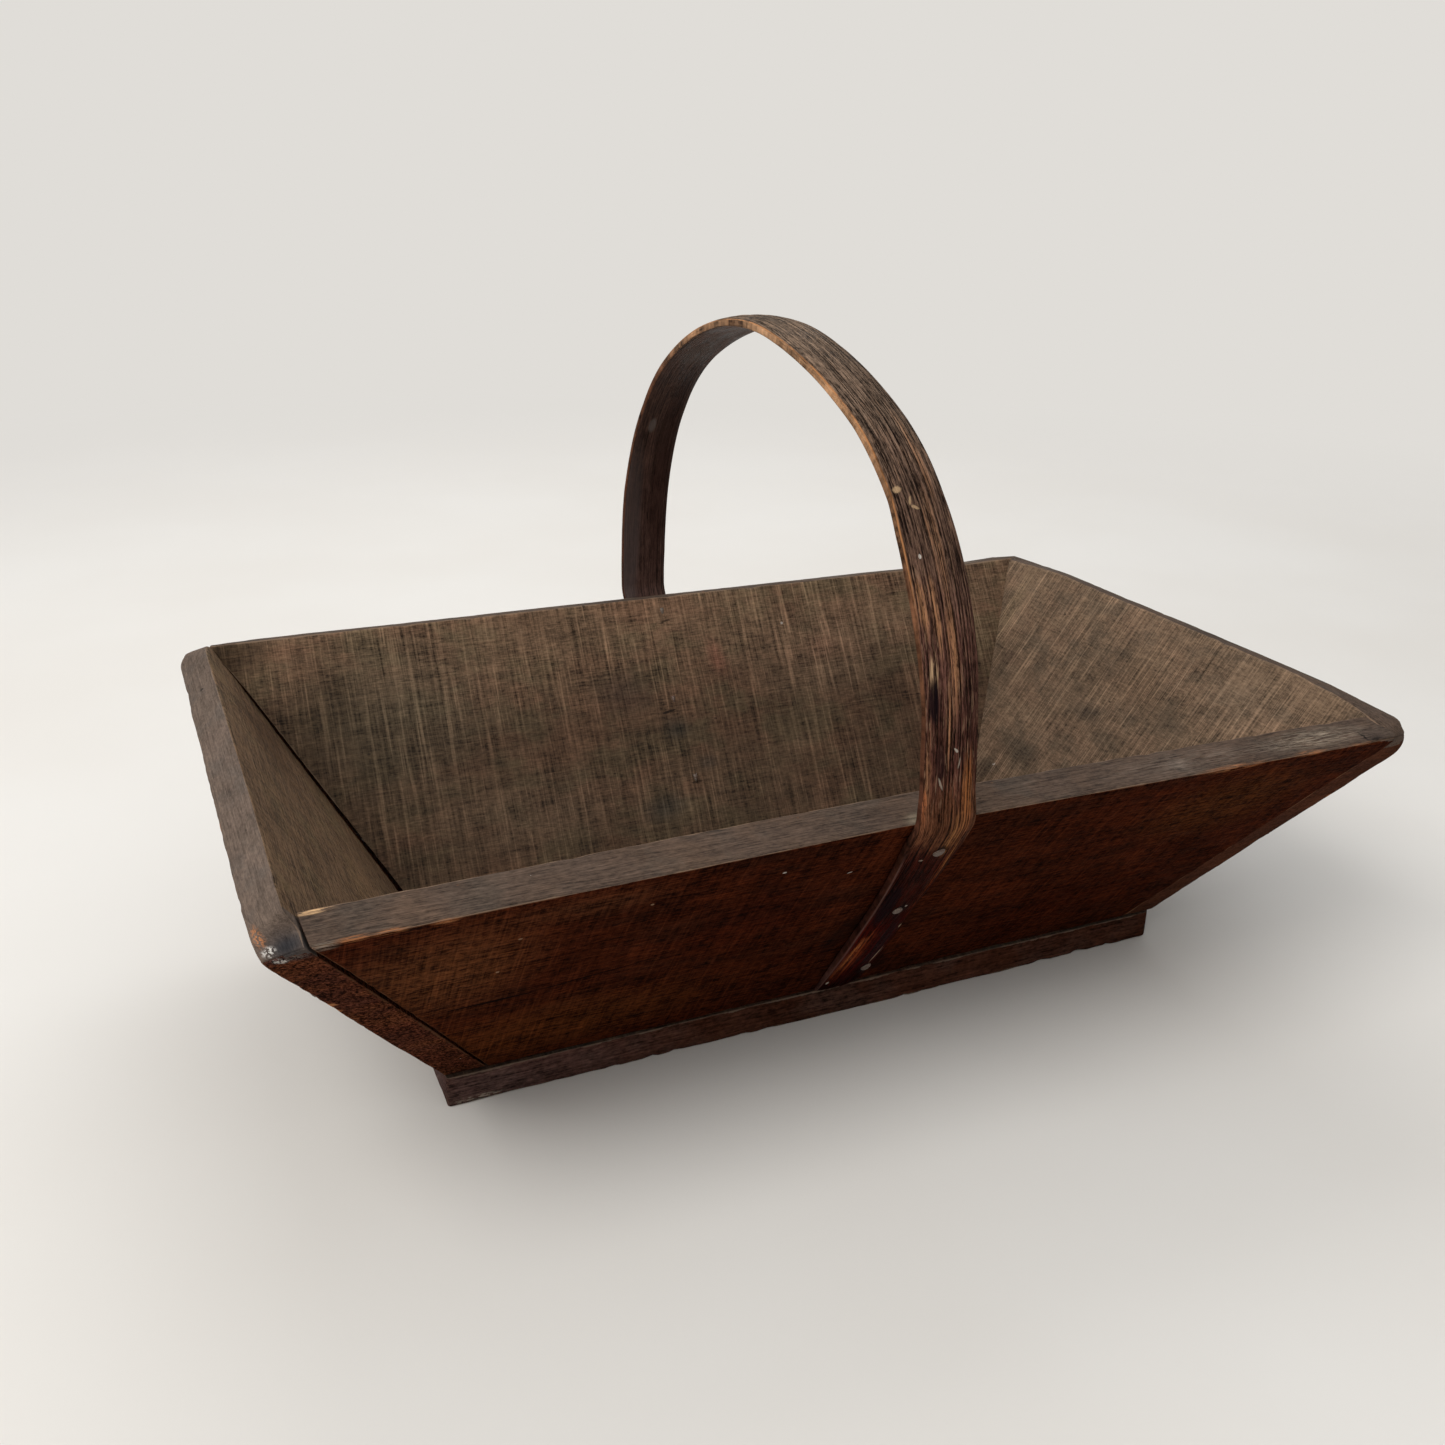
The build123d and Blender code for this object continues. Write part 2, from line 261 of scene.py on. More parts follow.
    def finish(self, colour, roughness, normal, specular):
        looks = {"Base Color": colour, "Roughness": roughness, "Normal": normal, "Specular IOR Level": specular}
        for name, value in looks.items():
            self.put(self.shader.inputs[name], value)
        return self.material


def worn_lines(m, at, edge, colour, line, line_width, raw, raw_colour):
    """The arrises: a thin worn line, and a few places where the raw wood shows."""
    ragged = m.cells(at, (3, 3, 3), 4.0, rough=0.7)
    broken = m.cells(at, (14, 14, 14), 8.0)
    reach = m.mul(m.span(broken, 0.4, 0.6, 0.25, 1.3), ragged, 2 * line_width * MM)
    worn = m.span(m.less(edge, reach), 0.0003, -0.0002)
    if line:
        colour = m.paint(colour, line, worn, 0.75)
    chipped = None
    if raw:
        where = m.span(m.cells(at, (24, 24, 24), 21.0), 0.72 - 0.16 * raw, 0.76 - 0.16 * raw)
        chipped = m.mul(where, m.span(m.less(edge, m.mul(ragged, 4.5 * MM)), 0.0004, -0.0003))
        colour = m.paint(colour, raw_colour, chipped, 0.9)
    return colour, worn, chipped


def wood(
    name, base, warm, cool, patch=(60, 34), uneven=1.0, fine=None, speck=(2.6, 1.3), grain=1.0, fibre=(38, 0.8),
    saw=0.0, saw_turn=0.0, saw_pitch=1.7, saw_tone=0.5, pores=0.4, foot=0.3, top=1.0,
    line=None, line_width=0.7, raw=0.0, raw_colour=ORANGE, specks=0.15,
    rough=(0.78, 0.94), bump=0.55, specular=0.12, tints=(), marks=(), chips=(), crumb=(1.6, 0.9),
):
    """Old bare wood. The grain attribute holds the place on the piece, (along, up, deep) in metres; tints, marks
    and chips are (colour, strength, centre, reach, turn if any) in millimetres and degrees. Tints lie under the
    texture, marks on it, and chips are broken up."""
    m = Nodes(name)
    at, edge = m.attribute("grain", "Vector"), m.attribute("edge", "Fac")
    up = m.separate(at)[1]

    # Soft patches of warmer and greyer wood
    broad = m.cells(at, (*patch, 30), 1.0, 4.0, distort=0.3)
    second = m.cells(at, (patch[0] * 0.6, patch[1] * 0.7, 30), 11.0, 4.0, 0.62)
    colour = m.mix(m.span(broad, 0.42, 0.62), base, warm)
    colour = m.mix(m.span(second, 0.46, 0.64), colour, cool)
    for tint, strength, *where in tints:
        colour = m.paint(colour, tint, m.mark(at, *where, soft=0.1), strength)

    # Fibres along the grain, mottling, and saw marks across it
    mottle = m.cells(at, (8, 4.5, 4.5), 3.0, 4.0, 0.66)
    fibres = m.cells(at, (fibre[0], fibre[1], fibre[1] * 1.5), 5.0)
    hairs = m.cells(at, (fibre[0] * 0.3, fibre[1] * 0.42, fibre[1] * 0.6), 9.0, 2.0)
    layers = [
        (m.cells(at, (24, 13, 13), 17.0), 0.9 * uneven),
        (mottle, 1.1 * uneven),
        (m.cells(at, (*speck, speck[1]), 31.0, 4.0, 0.7), 1.5 * (uneven if fine is None else fine)),
        (fibres, 1.2 * grain),
        (hairs, 1.3 * grain),
    ]
    if saw:
        wide = m.cells(at, (saw_pitch, 52, 30), 13.0, rough=0.62, turn=saw_turn + 1.0)
        thin = m.cells(at, (saw_pitch * 0.42, 26, 20), 19.0, turn=saw_turn - 1.5)
        fade = m.cells(at, (46, 30, 30), 23.0)
        strokes = m.mul(m.span(wide, 0.53, 0.68), m.span(fade, 0.38, 0.6, 0.15, 1.0))
        layers += [(wide, 1.2 * saw), (thin, 1.2 * saw), (strokes, saw_tone * saw)]
    value = m.layered(*layers)
    dashes = m.mul(m.span(m.cells(at, (3.6, 0.5, 0.8), 27.0, 2.0), 0.6, 0.68), pores)
    value = m.mul(value, m.less(1.0, m.mul(dashes, 0.6)))
    if top != 1.0:
        value = m.mul(value, m.span(up, 0.07, 0.13, 1.0, top))
    if foot:
        low = m.mul(m.span(up, 0.034, 0.0), m.span(mottle, 0.3, 0.7, 0.5, 1.3), foot)
        value = m.mul(value, m.less(1.0, low))
    colour = m.scaled(colour, value)

    colour, worn, chipped = worn_lines(m, at, edge, colour, line, line_width, raw, raw_colour)

    # Listed marks, pale specks and dark pits
    if marks:
        loose = m.shaken(at, (7, 4, 4), (2.2, 1.2, 1.0))
        near = m.shaken(at, (9, 9, 9), (0.6, 0.25, 0.25))
        for tint, strength, centre, reach, *turn in marks:
            fine_mark = min(reach[:2]) < 1.0
            where, soft = (near, 0.7) if fine_mark else (loose, 0.35)
            colour = m.paint(colour, tint, m.mark(where, centre, reach, *turn, soft=soft), strength)
    if chips:
        broken = m.span(m.cells(at, (*crumb, crumb[1]), 41.0, rough=0.65), 0.46, 0.54)
        tone = m.layered((mottle, 1.5), (hairs, 2.0))
        for tint, strength, *where in chips:
            colour = m.paint(colour, m.scaled(tint, tone), m.mark(at, *where, soft=0.2), broken, strength)
    pale = m.spots(at, 13.0, 0.42, specks)
    pit = m.spots(m.place(at, (0.6, 1.0, 1.0)), 9.0, 0.5, 0.25, 5.0)
    colour = m.paint(m.paint(colour, WHITE, pale, 0.7), SOOT_AND_SHADOW, pit, 0.6)

    height = m.add(
        m.mul(fibres, 0.8 * grain),
        m.mul(hairs, 0.5 * grain),
        m.mul(mottle, 0.6 * uneven),
        m.mul(m.noise(at, 1400.0, 2.0, 0.6), 0.3),
        m.mul(dashes, -0.4),
        m.mul(pit, -0.5),
        m.mul(pale, 0.4),
        m.mul(worn, -0.1),
    )
    if saw:
        height = m.add(height, m.mul(wide, 0.9 * saw))
        # Where marks are given, the thin saw marks show as colour alone
        if not marks:
            height = m.add(height, m.mul(thin, 0.6 * saw))
    if chipped:
        height = m.add(height, m.mul(chipped, -0.4))
    return m.finish(colour, m.span(mottle, 0.35, 0.65, *rough), m.bump(height, bump, 0.0007), specular)


def bentwood(
    name, zones, contrast, rough, specular, ridge_dark=(20, 10, 8), bump=0.9, raw_marks=(), marks=(), streaks=0.0,
    worn=0.0,
):
    """Cleft and steamed wood with ridges along it. The grain attribute is (along, across, ridge height);
    zones are (place along, colour) in millimetres from the front foot, and marks are as for wood."""
    m = Nodes(name)
    at, edge = m.attribute("grain", "Vector"), m.attribute("edge", "Fac")
    along, across, high = m.separate(at)
    total = zones[-1][0]
    share = m.math("MULTIPLY", along, 1000.0 / total)
    wander = m.cells(at, (30, 8, 8), 2.0)
    ramp = m.node("ValToRGB", {0: m.add(share, m.mul(m.less(wander, 0.5), 0.05))})
    ramp.color_ramp.interpolation = "EASE"
    stops = ramp.color_ramp.elements
    while len(stops) < len(zones):
        stops.new(0.5)
    for stop, (place, tint) in zip(stops, zones):
        stop.position = place / total
        stop.color = srgb(*tint)

    ridges = m.cells(at, (75, 0.75, 40), 5.0, rough=0.62)
    fine = m.cells(at, (22, 0.42, 40), 9.0, 2.0, 0.65)
    broken = m.cells(at, (3.2, 0.6, 40), 14.0, rough=0.7)
    mottle = m.cells(at, (14, 5, 40), 3.0, 4.0, 0.65)
    value = m.layered(*((noise, 4.5 * contrast) for noise in (ridges, fine, broken)), (mottle, 2.0))
    value = m.mul(value, m.span(high, -0.0001, 0.00009, 1.0 - 0.25 * contrast, 1.0 + 0.12 * contrast))
    colour = m.scaled(ramp.outputs["Color"], value)
    colour = m.paint(colour, ridge_dark, m.span(ridges, 0.44, 0.34), 0.7 * contrast)

    # Short pale and dark streaks on the front leg
    if streaks:
        leg = m.mul(m.span(along, 0.135, 0.16), m.span(along, 0.36, 0.27), streaks)
        dash = m.cells(at, (9, 0.6, 40), 22.0, rough=0.66)
        colour = m.paint(colour, (158, 124, 100), m.span(dash, 0.57, 0.66), leg)
        colour = m.paint(colour, (30, 20, 20), m.span(dash, 0.42, 0.35), leg, 0.9)

    # Raw wood where the skin has worn through, in streaks along the ridges
    streaky = m.add(m.mul(m.less(ridges, 0.5), 3.5), m.mul(m.less(broken, 0.5), 2.0))
    streaky = m.math("ADD", m.span(streaky, -0.2, 0.22), 0.12, clamp=True)
    loose = m.shaken(at, (12, 2.5, 20), (5.0, 0.8, 0.0))
    tone = m.layered((fine, 2.5), (ridges, 3.0))
    for tint, strength, *where in raw_marks:
        colour = m.paint(colour, m.scaled(tint, tone), m.mark(loose, *where, soft=0.2), streaky, strength)
    # Small marks; on the hoop's outer face some are painted shadow around the nails, and one is a painted highlight
    # near the front foot's right edge
    near = m.shaken(at, (3, 2, 20), (0.4, 0.2, 0.0))
    for tint, strength, *where in marks:
        colour = m.paint(colour, tint, m.mark(near, *where, soft=0.5), strength)

    # The left arris: bare over the leg, and paler down the foot, where the pale colour is a painted highlight
    if worn:
        left = m.span(across, -0.006, -0.0075)
        bare = m.mul(left, m.span(edge, 0.0011, 0.0003), m.span(along, 0.2, 0.25), m.span(along, 0.5, 0.44))
        gaps = m.span(m.cells(at, (12, 3, 40), 33.0), 0.38, 0.52, 0.35, 1.0)
        colour = m.paint(colour, (196, 136, 88), bare, gaps, worn)
        colour = m.paint(colour, (112, 84, 76), left, m.span(edge, 0.0012, 0.0004), m.span(along, 0.13, 0.11), 0.6)
    pale = m.spots(at, 11.0, 0.4, 0.14)
    colour = m.paint(colour, WHITE, pale, 0.7)
    height = m.add(m.mul(ridges, 1.6 * contrast), m.mul(fine, 0.9 * contrast), m.mul(broken, 0.7), m.mul(pale, 0.3))
    return m.finish(colour, m.span(mottle, 0.35, 0.65, *rough), m.bump(height, bump, 0.0006), specular)


# Meshes
def steps_to(length, fine_step, fine_reach, step):
    """Places from 0 to length, close together near both ends."""
    fine = [0.0]
    width = fine_step
    while fine[-1] < fine_reach:
        fine.append(fine[-1] + width)
        width *= 1.32
    middle = length - 2 * fine[-1]
    count = max(1, round(middle / step))
    inner = [fine[-1] + middle * (k + 1) / count for k in range(count - 1)]
    return np.array(fine + inner + [length - f for f in reversed(fine)])


def normals_of(co, quads):
    a, b, c, d = (co[quads[:, k]] for k in range(4))
    n = np.cross(c - a, d - b)
    total = np.zeros_like(co)
    for k in range(4):
        np.add.at(total, quads[:, k], n)
    return total / np.maximum(np.linalg.norm(total, axis=1, keepdims=True), 1e-12)


def volume_sign(co, quads):
    a, b, c, d = (co[quads[:, k]] for k in range(4))
    return np.sum(np.einsum("ij,ij->i", a, np.cross(b, c)) + np.einsum("ij,ij->i", a, np.cross(c, d)))


def mesh_piece(name, co, faces, materials, groups, grain, edge, node):
    """An object from points in millimetres, with its grain and edge attributes, standing for a CAD node."""
    mesh = bpy.data.meshes.new(name)
    mesh.from_pydata((co * MM).tolist(), [], [tuple(int(i) for i in f) for f in faces])
    for material in materials:
        mesh.materials.append(material)
    mesh.polygons.foreach_set("material_index", np.asarray(groups, np.int32))
    mesh.polygons.foreach_set("use_smooth", np.ones(len(faces), bool))
    for key, kind, field, values in (("grain", "FLOAT_VECTOR", "vector", grain), ("edge", "FLOAT", "value", edge)):
        layer = mesh.attributes.new(key, kind, "POINT")
        layer.data.foreach_set(field, (np.asarray(values) * MM).astype(np.float32).ravel())
    mesh.validate()
    mesh.update()
    piece = bpy.data.objects.new(name, mesh)
    bpy.context.scene.collection.objects.link(piece)
    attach(piece, "root")
    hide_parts(node)


def slab(size, place, radius, corners, dents, seed, steps=(2.4, 3.0, 4.0), warp=0.35, grit=0.07):
    """A worn board. size is (half length, width, thickness) in its own a, b, c; place maps those to the trug,
    and radius gives how round the arrises are. corners are the outline's radii: low left, high left, low right,
    high right. Returns its points, faces, the faces' groups, the points before wear, and how far each is from an
    arris. The groups are outer face, inner face, rim, foot, left or front end, right or back end."""
    A, B, C = size
    la = steps_to(2 * A, 0.22, 5.0, steps[0]) - A
    lb = steps_to(B, 0.22, 5.0, steps[1])
    lc = steps_to(C, 0.22, 3.0, steps[2])
    na, nb, nc = len(la), len(lb), len(lc)
    ids = -np.ones((na, nb, nc), int)
    shell = np.zeros((na, nb, nc), bool)
    shell[[0, -1]] = shell[:, [0, -1]] = shell[:, :, [0, -1]] = True
    ids[shell] = np.arange(shell.sum())
    ia, ib, ic = np.nonzero(shell)
    q = np.stack([la[ia], lb[ib], lc[ic]], 1)

    faces, groups = [], []
    for group, (axis, end) in enumerate([(2, 0), (2, -1), (1, -1), (1, 0), (0, 0), (0, -1)]):
        sheet = np.take(ids, end, axis=axis)
        f = np.stack([sheet[:-1, :-1], sheet[1:, :-1], sheet[1:, 1:], sheet[:-1, 1:]], -1).reshape(-1, 4)
        if (end == 0) == (axis != 1):
            f = f[:, ::-1]
        faces.append(f)
        groups += [group] * len(f)
    faces = np.concatenate(faces)

    # Round the outline's corners, then every arris
    da = A - np.abs(q[:, 0])
    db = np.minimum(q[:, 1], B - q[:, 1])
    dc = np.minimum(q[:, 2], C - q[:, 2])
    sa = -np.sign(q[:, 0])
    sb = np.where(q[:, 1] < B / 2, 1.0, -1.0)
    sc = np.where(q[:, 2] < C / 2, 1.0, -1.0)
    left, low = q[:, 0] < 0, q[:, 1] < B / 2
    R = np.select([left & low, left & ~low, ~left & low], corners[:3], corners[3]).astype(float)
    x, y = R - da, R - db
    inside = (x > 0) & (y > 0)
    h = np.maximum(np.hypot(x, y), 1e-9)
    k = np.maximum(x, y) / h
    da2 = np.where(inside, R - x * k, da)
    db2 = np.where(inside, R - y * k, db)
    depth = np.minimum(da, db)
    push_a = np.where(inside, x / h, np.where(da < db, 1.0, 0.0))
    push_b = np.where(inside, y / h, np.where(da < db, 0.0, 1.0))
    r = radius(q)
    e1, e2 = np.maximum(r - depth, 0), np.maximum(r - dc, 0)
    length = np.hypot(e1, e2)
    k = np.where((e1 > 0) & (e2 > 0) & (length > r), r / np.maximum(length, 1e-9), 1.0)
    s1, s2 = e1 * (1 - k), e2 * (1 - k)
    da3 = da2 + push_a * s1
    db3 = db2 + push_b * s1
    dc3 = dc + s2
    p = np.stack([-sa * (A - da3), np.where(sb > 0, db3, B - db3), np.where(sc > 0, dc3, C - dc3)], 1)
    edge = depth + dc
    co = place(p)
    plain = co.copy()
    if volume_sign(co, faces) < 0:
        faces = faces[:, ::-1]

    # Uneven planing, grit and dents
    n = normals_of(co, faces)
    away = fbm(p / [90, 55, 40], 2, seed) * warp + fbm(p / [14, 9, 9], 2, seed + 5) * grit
    near_edge = np.exp(-((edge / 2.2) ** 2))
    away = away - near_edge * np.maximum(fbm(p / [5, 3, 3], 2, seed + 9) - 0.1, 0) * 0.22
    for a, b, c, reach, deep in dents:
        d = np.linalg.norm((p - [a, b, c]), axis=1) / reach
        away = away - deep * np.maximum(1 - d * d, 0) ** 2
    co = co + n * away[:, None]
    return co, faces, np.array(groups), plain, edge


def edge_dents(rng, A, B, C, count):
    """Random knocks along the rim's two arrises, as (a, b, c, reach, depth)."""
    found = []
    for _ in range(count):
        c = 0.0 if rng.random() < 0.65 else C
        found.append((rng.uniform(-A, A), B, c, rng.uniform(2.2, 4.5), rng.uniform(0.2, 0.6)))
    return found


# Boards
# The length of a tip's leaning edge to each millimetre of its height
EDGE_RISE = math.hypot(SIDE_SLOPE, 1 / math.cos(END_LEAN))
# How far down a rounded tip the rim's finish goes, as a share of the tip
TIP_SHARE = 0.62


def tip_eased(y, z, top, along_rim, along_edge, full, across=0.0):
    """Round the tip where the rim meets a leaning outer edge. y is outwards from the middle, and a higher full
    leaves a fuller tip. across, up to 1, keeps the tip's reach outwards."""
    along_rim = np.maximum(along_rim, 1e-3)
    along_edge = np.maximum(along_edge, 1e-3)
    rim, down = side_out(z) - y, (top - z) * EDGE_RISE
    u, v = 1 - rim / along_rim, 1 - down / along_edge
    inside = (u > 0) & (v > 0)
    spread = np.maximum(np.maximum(u, 0) ** full + np.maximum(v, 0) ** full, 1e-9) ** (1 / full)
    k = np.maximum(u, v) / spread
    rim2 = np.where(inside, rim + along_rim * u * (1 - k) * (1 - across), rim)
    down2 = np.where(inside, down + along_edge * v * (1 - k), down)
    z2 = top - down2 / EDGE_RISE
    return side_out(z2) - rim2, z2


def table(x, rows):
    """The value at x of a line through (x, value) rows."""
    rows = np.array(rows, float)
    return np.interp(x, rows[:, 0], rows[:, 1])


def arris_radius(size, rim_outer, rim_inner, foot, end_outer, end_inner, seed, worn_ends=(0, 0), worn_corner=0.0):
    """How round each arris is. worn_ends is how much rounder the rim's outer arris is towards the left and right
    tips, and worn_corner is the same for the whole outer corner at an end board's back tip."""
    A, B, C = size

    def radius(q):
        a, b, c = q.T
        end, rim = A - np.abs(a), B - b
        worn = np.where(a < 0, worn_ends[0], worn_ends[1]) * (1 - smooth(end, 2, 26))
        pairs = [
            (rim, c, rim_outer + worn),
            (rim, C - c, rim_inner + 0.3 * worn),
            (b, c, foot),
            (b, C - c, foot),
            (end, c, end_outer),
            (end, C - c, end_inner),
        ]
        weights = [1 / (d1 + d2 + 0.3) ** 3 for d1, d2, _ in pairs]
        mean = sum(w * r for w, (_, _, r) in zip(weights, pairs)) / sum(weights)
        mean = mean + worn_corner * smooth(A - a, 24, 12) * smooth(rim, 30, 10) * smooth(c, 12, 7)
        return np.clip(mean * (1 + 0.3 * fbm(q / [11, 6, 6], 3, seed)), 0.12, 6.0)

    return radius


def long_board(name, sign, outer, inner, thick, gaps, tips, materials, seed):
    """outer and inner are the rim's heights along it; thick is the share of the board's thickness at the rim;
    gaps are the left and right seams, (open, at the rim); tips are the left and right ((along rim, along edge)
    outside, the same inside, fullness)."""
    size = (SIDE_HALF_LENGTH, (SIDE_RIM - FLOOR) / math.cos(SIDE_LEAN), SIDE_THICK)
    A, B, C = size

    def place(p):
        a, b, c = p.T
        t, w = b / B, c / C
        along = a / A * (end_out(SIDE_RIM) - END_BAND)
        top = table(along, outer) * (1 - w) + table(along, inner) * w
        z = FLOOR + 0.15 + t * (top - FLOOR - 0.15)
        out = side_out(z) - w * SIDE_BAND * (1 + (thick - 1) * t)
        for end, ((rim_o, edge_o), (rim_i, edge_i), full) in zip((A + a, A - a), tips):
            near = 1 - smooth(end, 0, 26)
            rim, edge = rim_o + (rim_i - rim_o) * w, edge_o + (edge_i - edge_o) * w
            out, z = tip_eased(out, z, top, rim * near, edge * near, full, w)
        left, right = (end_out(z) - END_BAND - wide + (wide - rim) * smooth(t, 0.78, 0.98) for wide, rim in gaps)
        x = ((A + a) * right - (A - a) * left) / (2 * A)
        return np.stack([x, sign * out, z], 1)

    worn = [3.5 if outside[0] > 15 else 0 for outside, _, _ in tips]
    radius = arris_radius(size, 1.5, 1.0, 0.35, 0.8, 0.6, seed, worn)
    knocks = edge_dents(np.random.default_rng(seed), *size, 12)
    co, faces, groups, p, edge = slab(size, place, radius, (0.5,) * 4, knocks, seed)
    along, up = p[:, 0], (p[:, 2] - FLOOR) / math.cos(SIDE_LEAN)
    deep = (side_out(p[:, 2]) - sign * p[:, 1]) * math.cos(SIDE_LEAN)
    mid = co[faces].mean(1)
    for side, ((rim_o, edge_o), _, _) in zip((-1, 1), tips):
        reach = side * mid[:, 0] - end_out(mid[:, 2]) + END_BAND
        low = table(mid[:, 0], outer) - edge_o * TIP_SHARE / EDGE_RISE * (1 - smooth(-reach, 0, 20))
        groups[(groups == 0) & (reach > -20) & (mid[:, 2] > low)] = 2
    grain = np.stack([along, up, deep], 1)
    mesh_piece(name + "_worn", co, faces, materials, groups, grain, edge, name)


def end_board(name, sign, outer, inner, thick, tips, facet, materials, seed, worn_corner):
    """outer and inner are the rim's heights along it; tips are the front and back ones, as for a long board;
    thick is the share of the board's thickness at the rim, by place along it; facet is (how far the front tip's
    inner side is cut down, its reach outside, inside, where it levels out); worn_corner is how much rounder the
    back tip's outer corner is."""
    crest = max(z for _, z in outer)
    size = (END_HALF_LENGTH, (crest - FLOOR) / math.cos(END_LEAN), END_THICK)
    A, B, C = size

    def place(p):
        a, b, c = p.T
        t, w = b / B, c / C
        along = a / A * RIM_HALF_WIDTH
        top = table(along, outer) * (1 - w) + table(along, inner) * w
        drop, reach_out, reach_in, level = facet
        reach = reach_out + (reach_in - reach_out) * w
        top = top - drop * w * smooth(-RIM_HALF_WIDTH - along, -reach, -reach * level)
        z = FLOOR + 0.15 + t * (top - FLOOR - 0.15)
        y = np.abs(a) / A * side_out(z)
        for mine, ((rim_o, edge_o), (rim_i, edge_i), full) in zip((a < 0, a >= 0), tips):
            rim, edge = rim_o + (rim_i - rim_o) * w, edge_o + (edge_i - edge_o) * w
            y2, z2 = tip_eased(y, z, top, rim, edge, full)
            y, z = np.where(mine, y2, y), np.where(mine, z2, z)
        out = end_out(z) - w * END_BAND * (1 + (table(along, thick) - 1) * t)
        return np.stack([sign * out, np.sign(a) * y, z], 1)

    radius = arris_radius(size, 1.7, 1.0, 0.4, 1.2, 0.6, seed, worn_corner=worn_corner)
    knocks = edge_dents(np.random.default_rng(seed), *size, 8)
    co, faces, groups, p, edge = slab(size, place, radius, (0.8,) * 4, knocks, seed, (1.7, 1.9, 3.0))
    co[:, 0] = np.clip(co[:, 0], -TRUG_REACH, TRUG_REACH)
    along, up = p[:, 1], (p[:, 2] - FLOOR) / math.cos(END_LEAN)
    deep = (end_out(p[:, 2]) - sign * p[:, 0]) * math.cos(END_LEAN)
    mid = co[faces].mean(1)
    for side, ((_, edge_o), _, _) in zip((-1, 1), tips):
        low = crest - edge_o * TIP_SHARE / EDGE_RISE
        groups[(groups >= 4) & (side * mid[:, 1] > 0) & (mid[:, 2] > low)] = 2
    seam = (groups == 1) & (np.abs(mid[:, 1]) > side_out(mid[:, 2]) - SIDE_BAND + 0.4)
    groups[seam] = np.where(mid[seam, 2] > crest - 6, 2, 4)
    grain = np.stack([along, up, deep], 1)
    mesh_piece(name + "_worn", co, faces, materials, groups, grain, edge, name)


# Where the bottom board's grain starts, so that it differs from the other boards' grain
BASE_GRAIN_START = 900.0


def bottom_board(materials):
    size = (BASE_HALF_LENGTH, 2 * BASE_HALF_WIDTH, FLOOR - 0.1)
    A, B, C = size

    def place(p):
        a, b, c = p.T
        short = np.where(a > 0, 1.8 * a / A, 0.4 * a / A)
        return np.stack([a - short, b - B / 2, c], 1)

    def radius(q):
        low = smooth(q[:, 2], C * 0.7, C * 0.3)
        r = 0.6 + 0.5 * low
        return np.clip(r * (1 + 0.6 * fbm(q / [17, 17, 8], 3, 41)), 0.2, 2.5)

    rng = np.random.default_rng(7)
    knocks = []
    for _ in range(26):
        side = 0.0 if rng.random() < 0.5 else B
        along, level = rng.uniform(-A, A), 0.0 if rng.random() < 0.6 else C
        knocks.append((along, side, level, rng.uniform(2, 6), rng.uniform(0.3, 1.1)))
    co, faces, groups, p, edge = slab(size, place, radius, (1.2, 3.0, 4.0, 3.0), knocks, 4, warp=0.2)
    co[:, 2] = np.clip(co[:, 2], 0, FLOOR)
    co[:, 0] = np.clip(co[:, 0], -BASE_HALF_LENGTH, BASE_HALF_LENGTH)
    grain = p + [BASE_GRAIN_START, 0, 0]
    mesh_piece("bottom_board_worn", co, faces, materials, groups, grain, edge, "bottom_board")


# Hoop: the rim bend's radius, then the haunch and the shoulder, each with its radius as a share of half the span
# and the angle at which it ends, and the strip's thickness
BEND = 12.0
HAUNCH_SHARE, SHOULDER_SHARE = 1.06, 0.728
HAUNCH, SHOULDER = math.radians(25), math.radians(59)
STRIP = 5.0
HOOP_STEP = 1.25


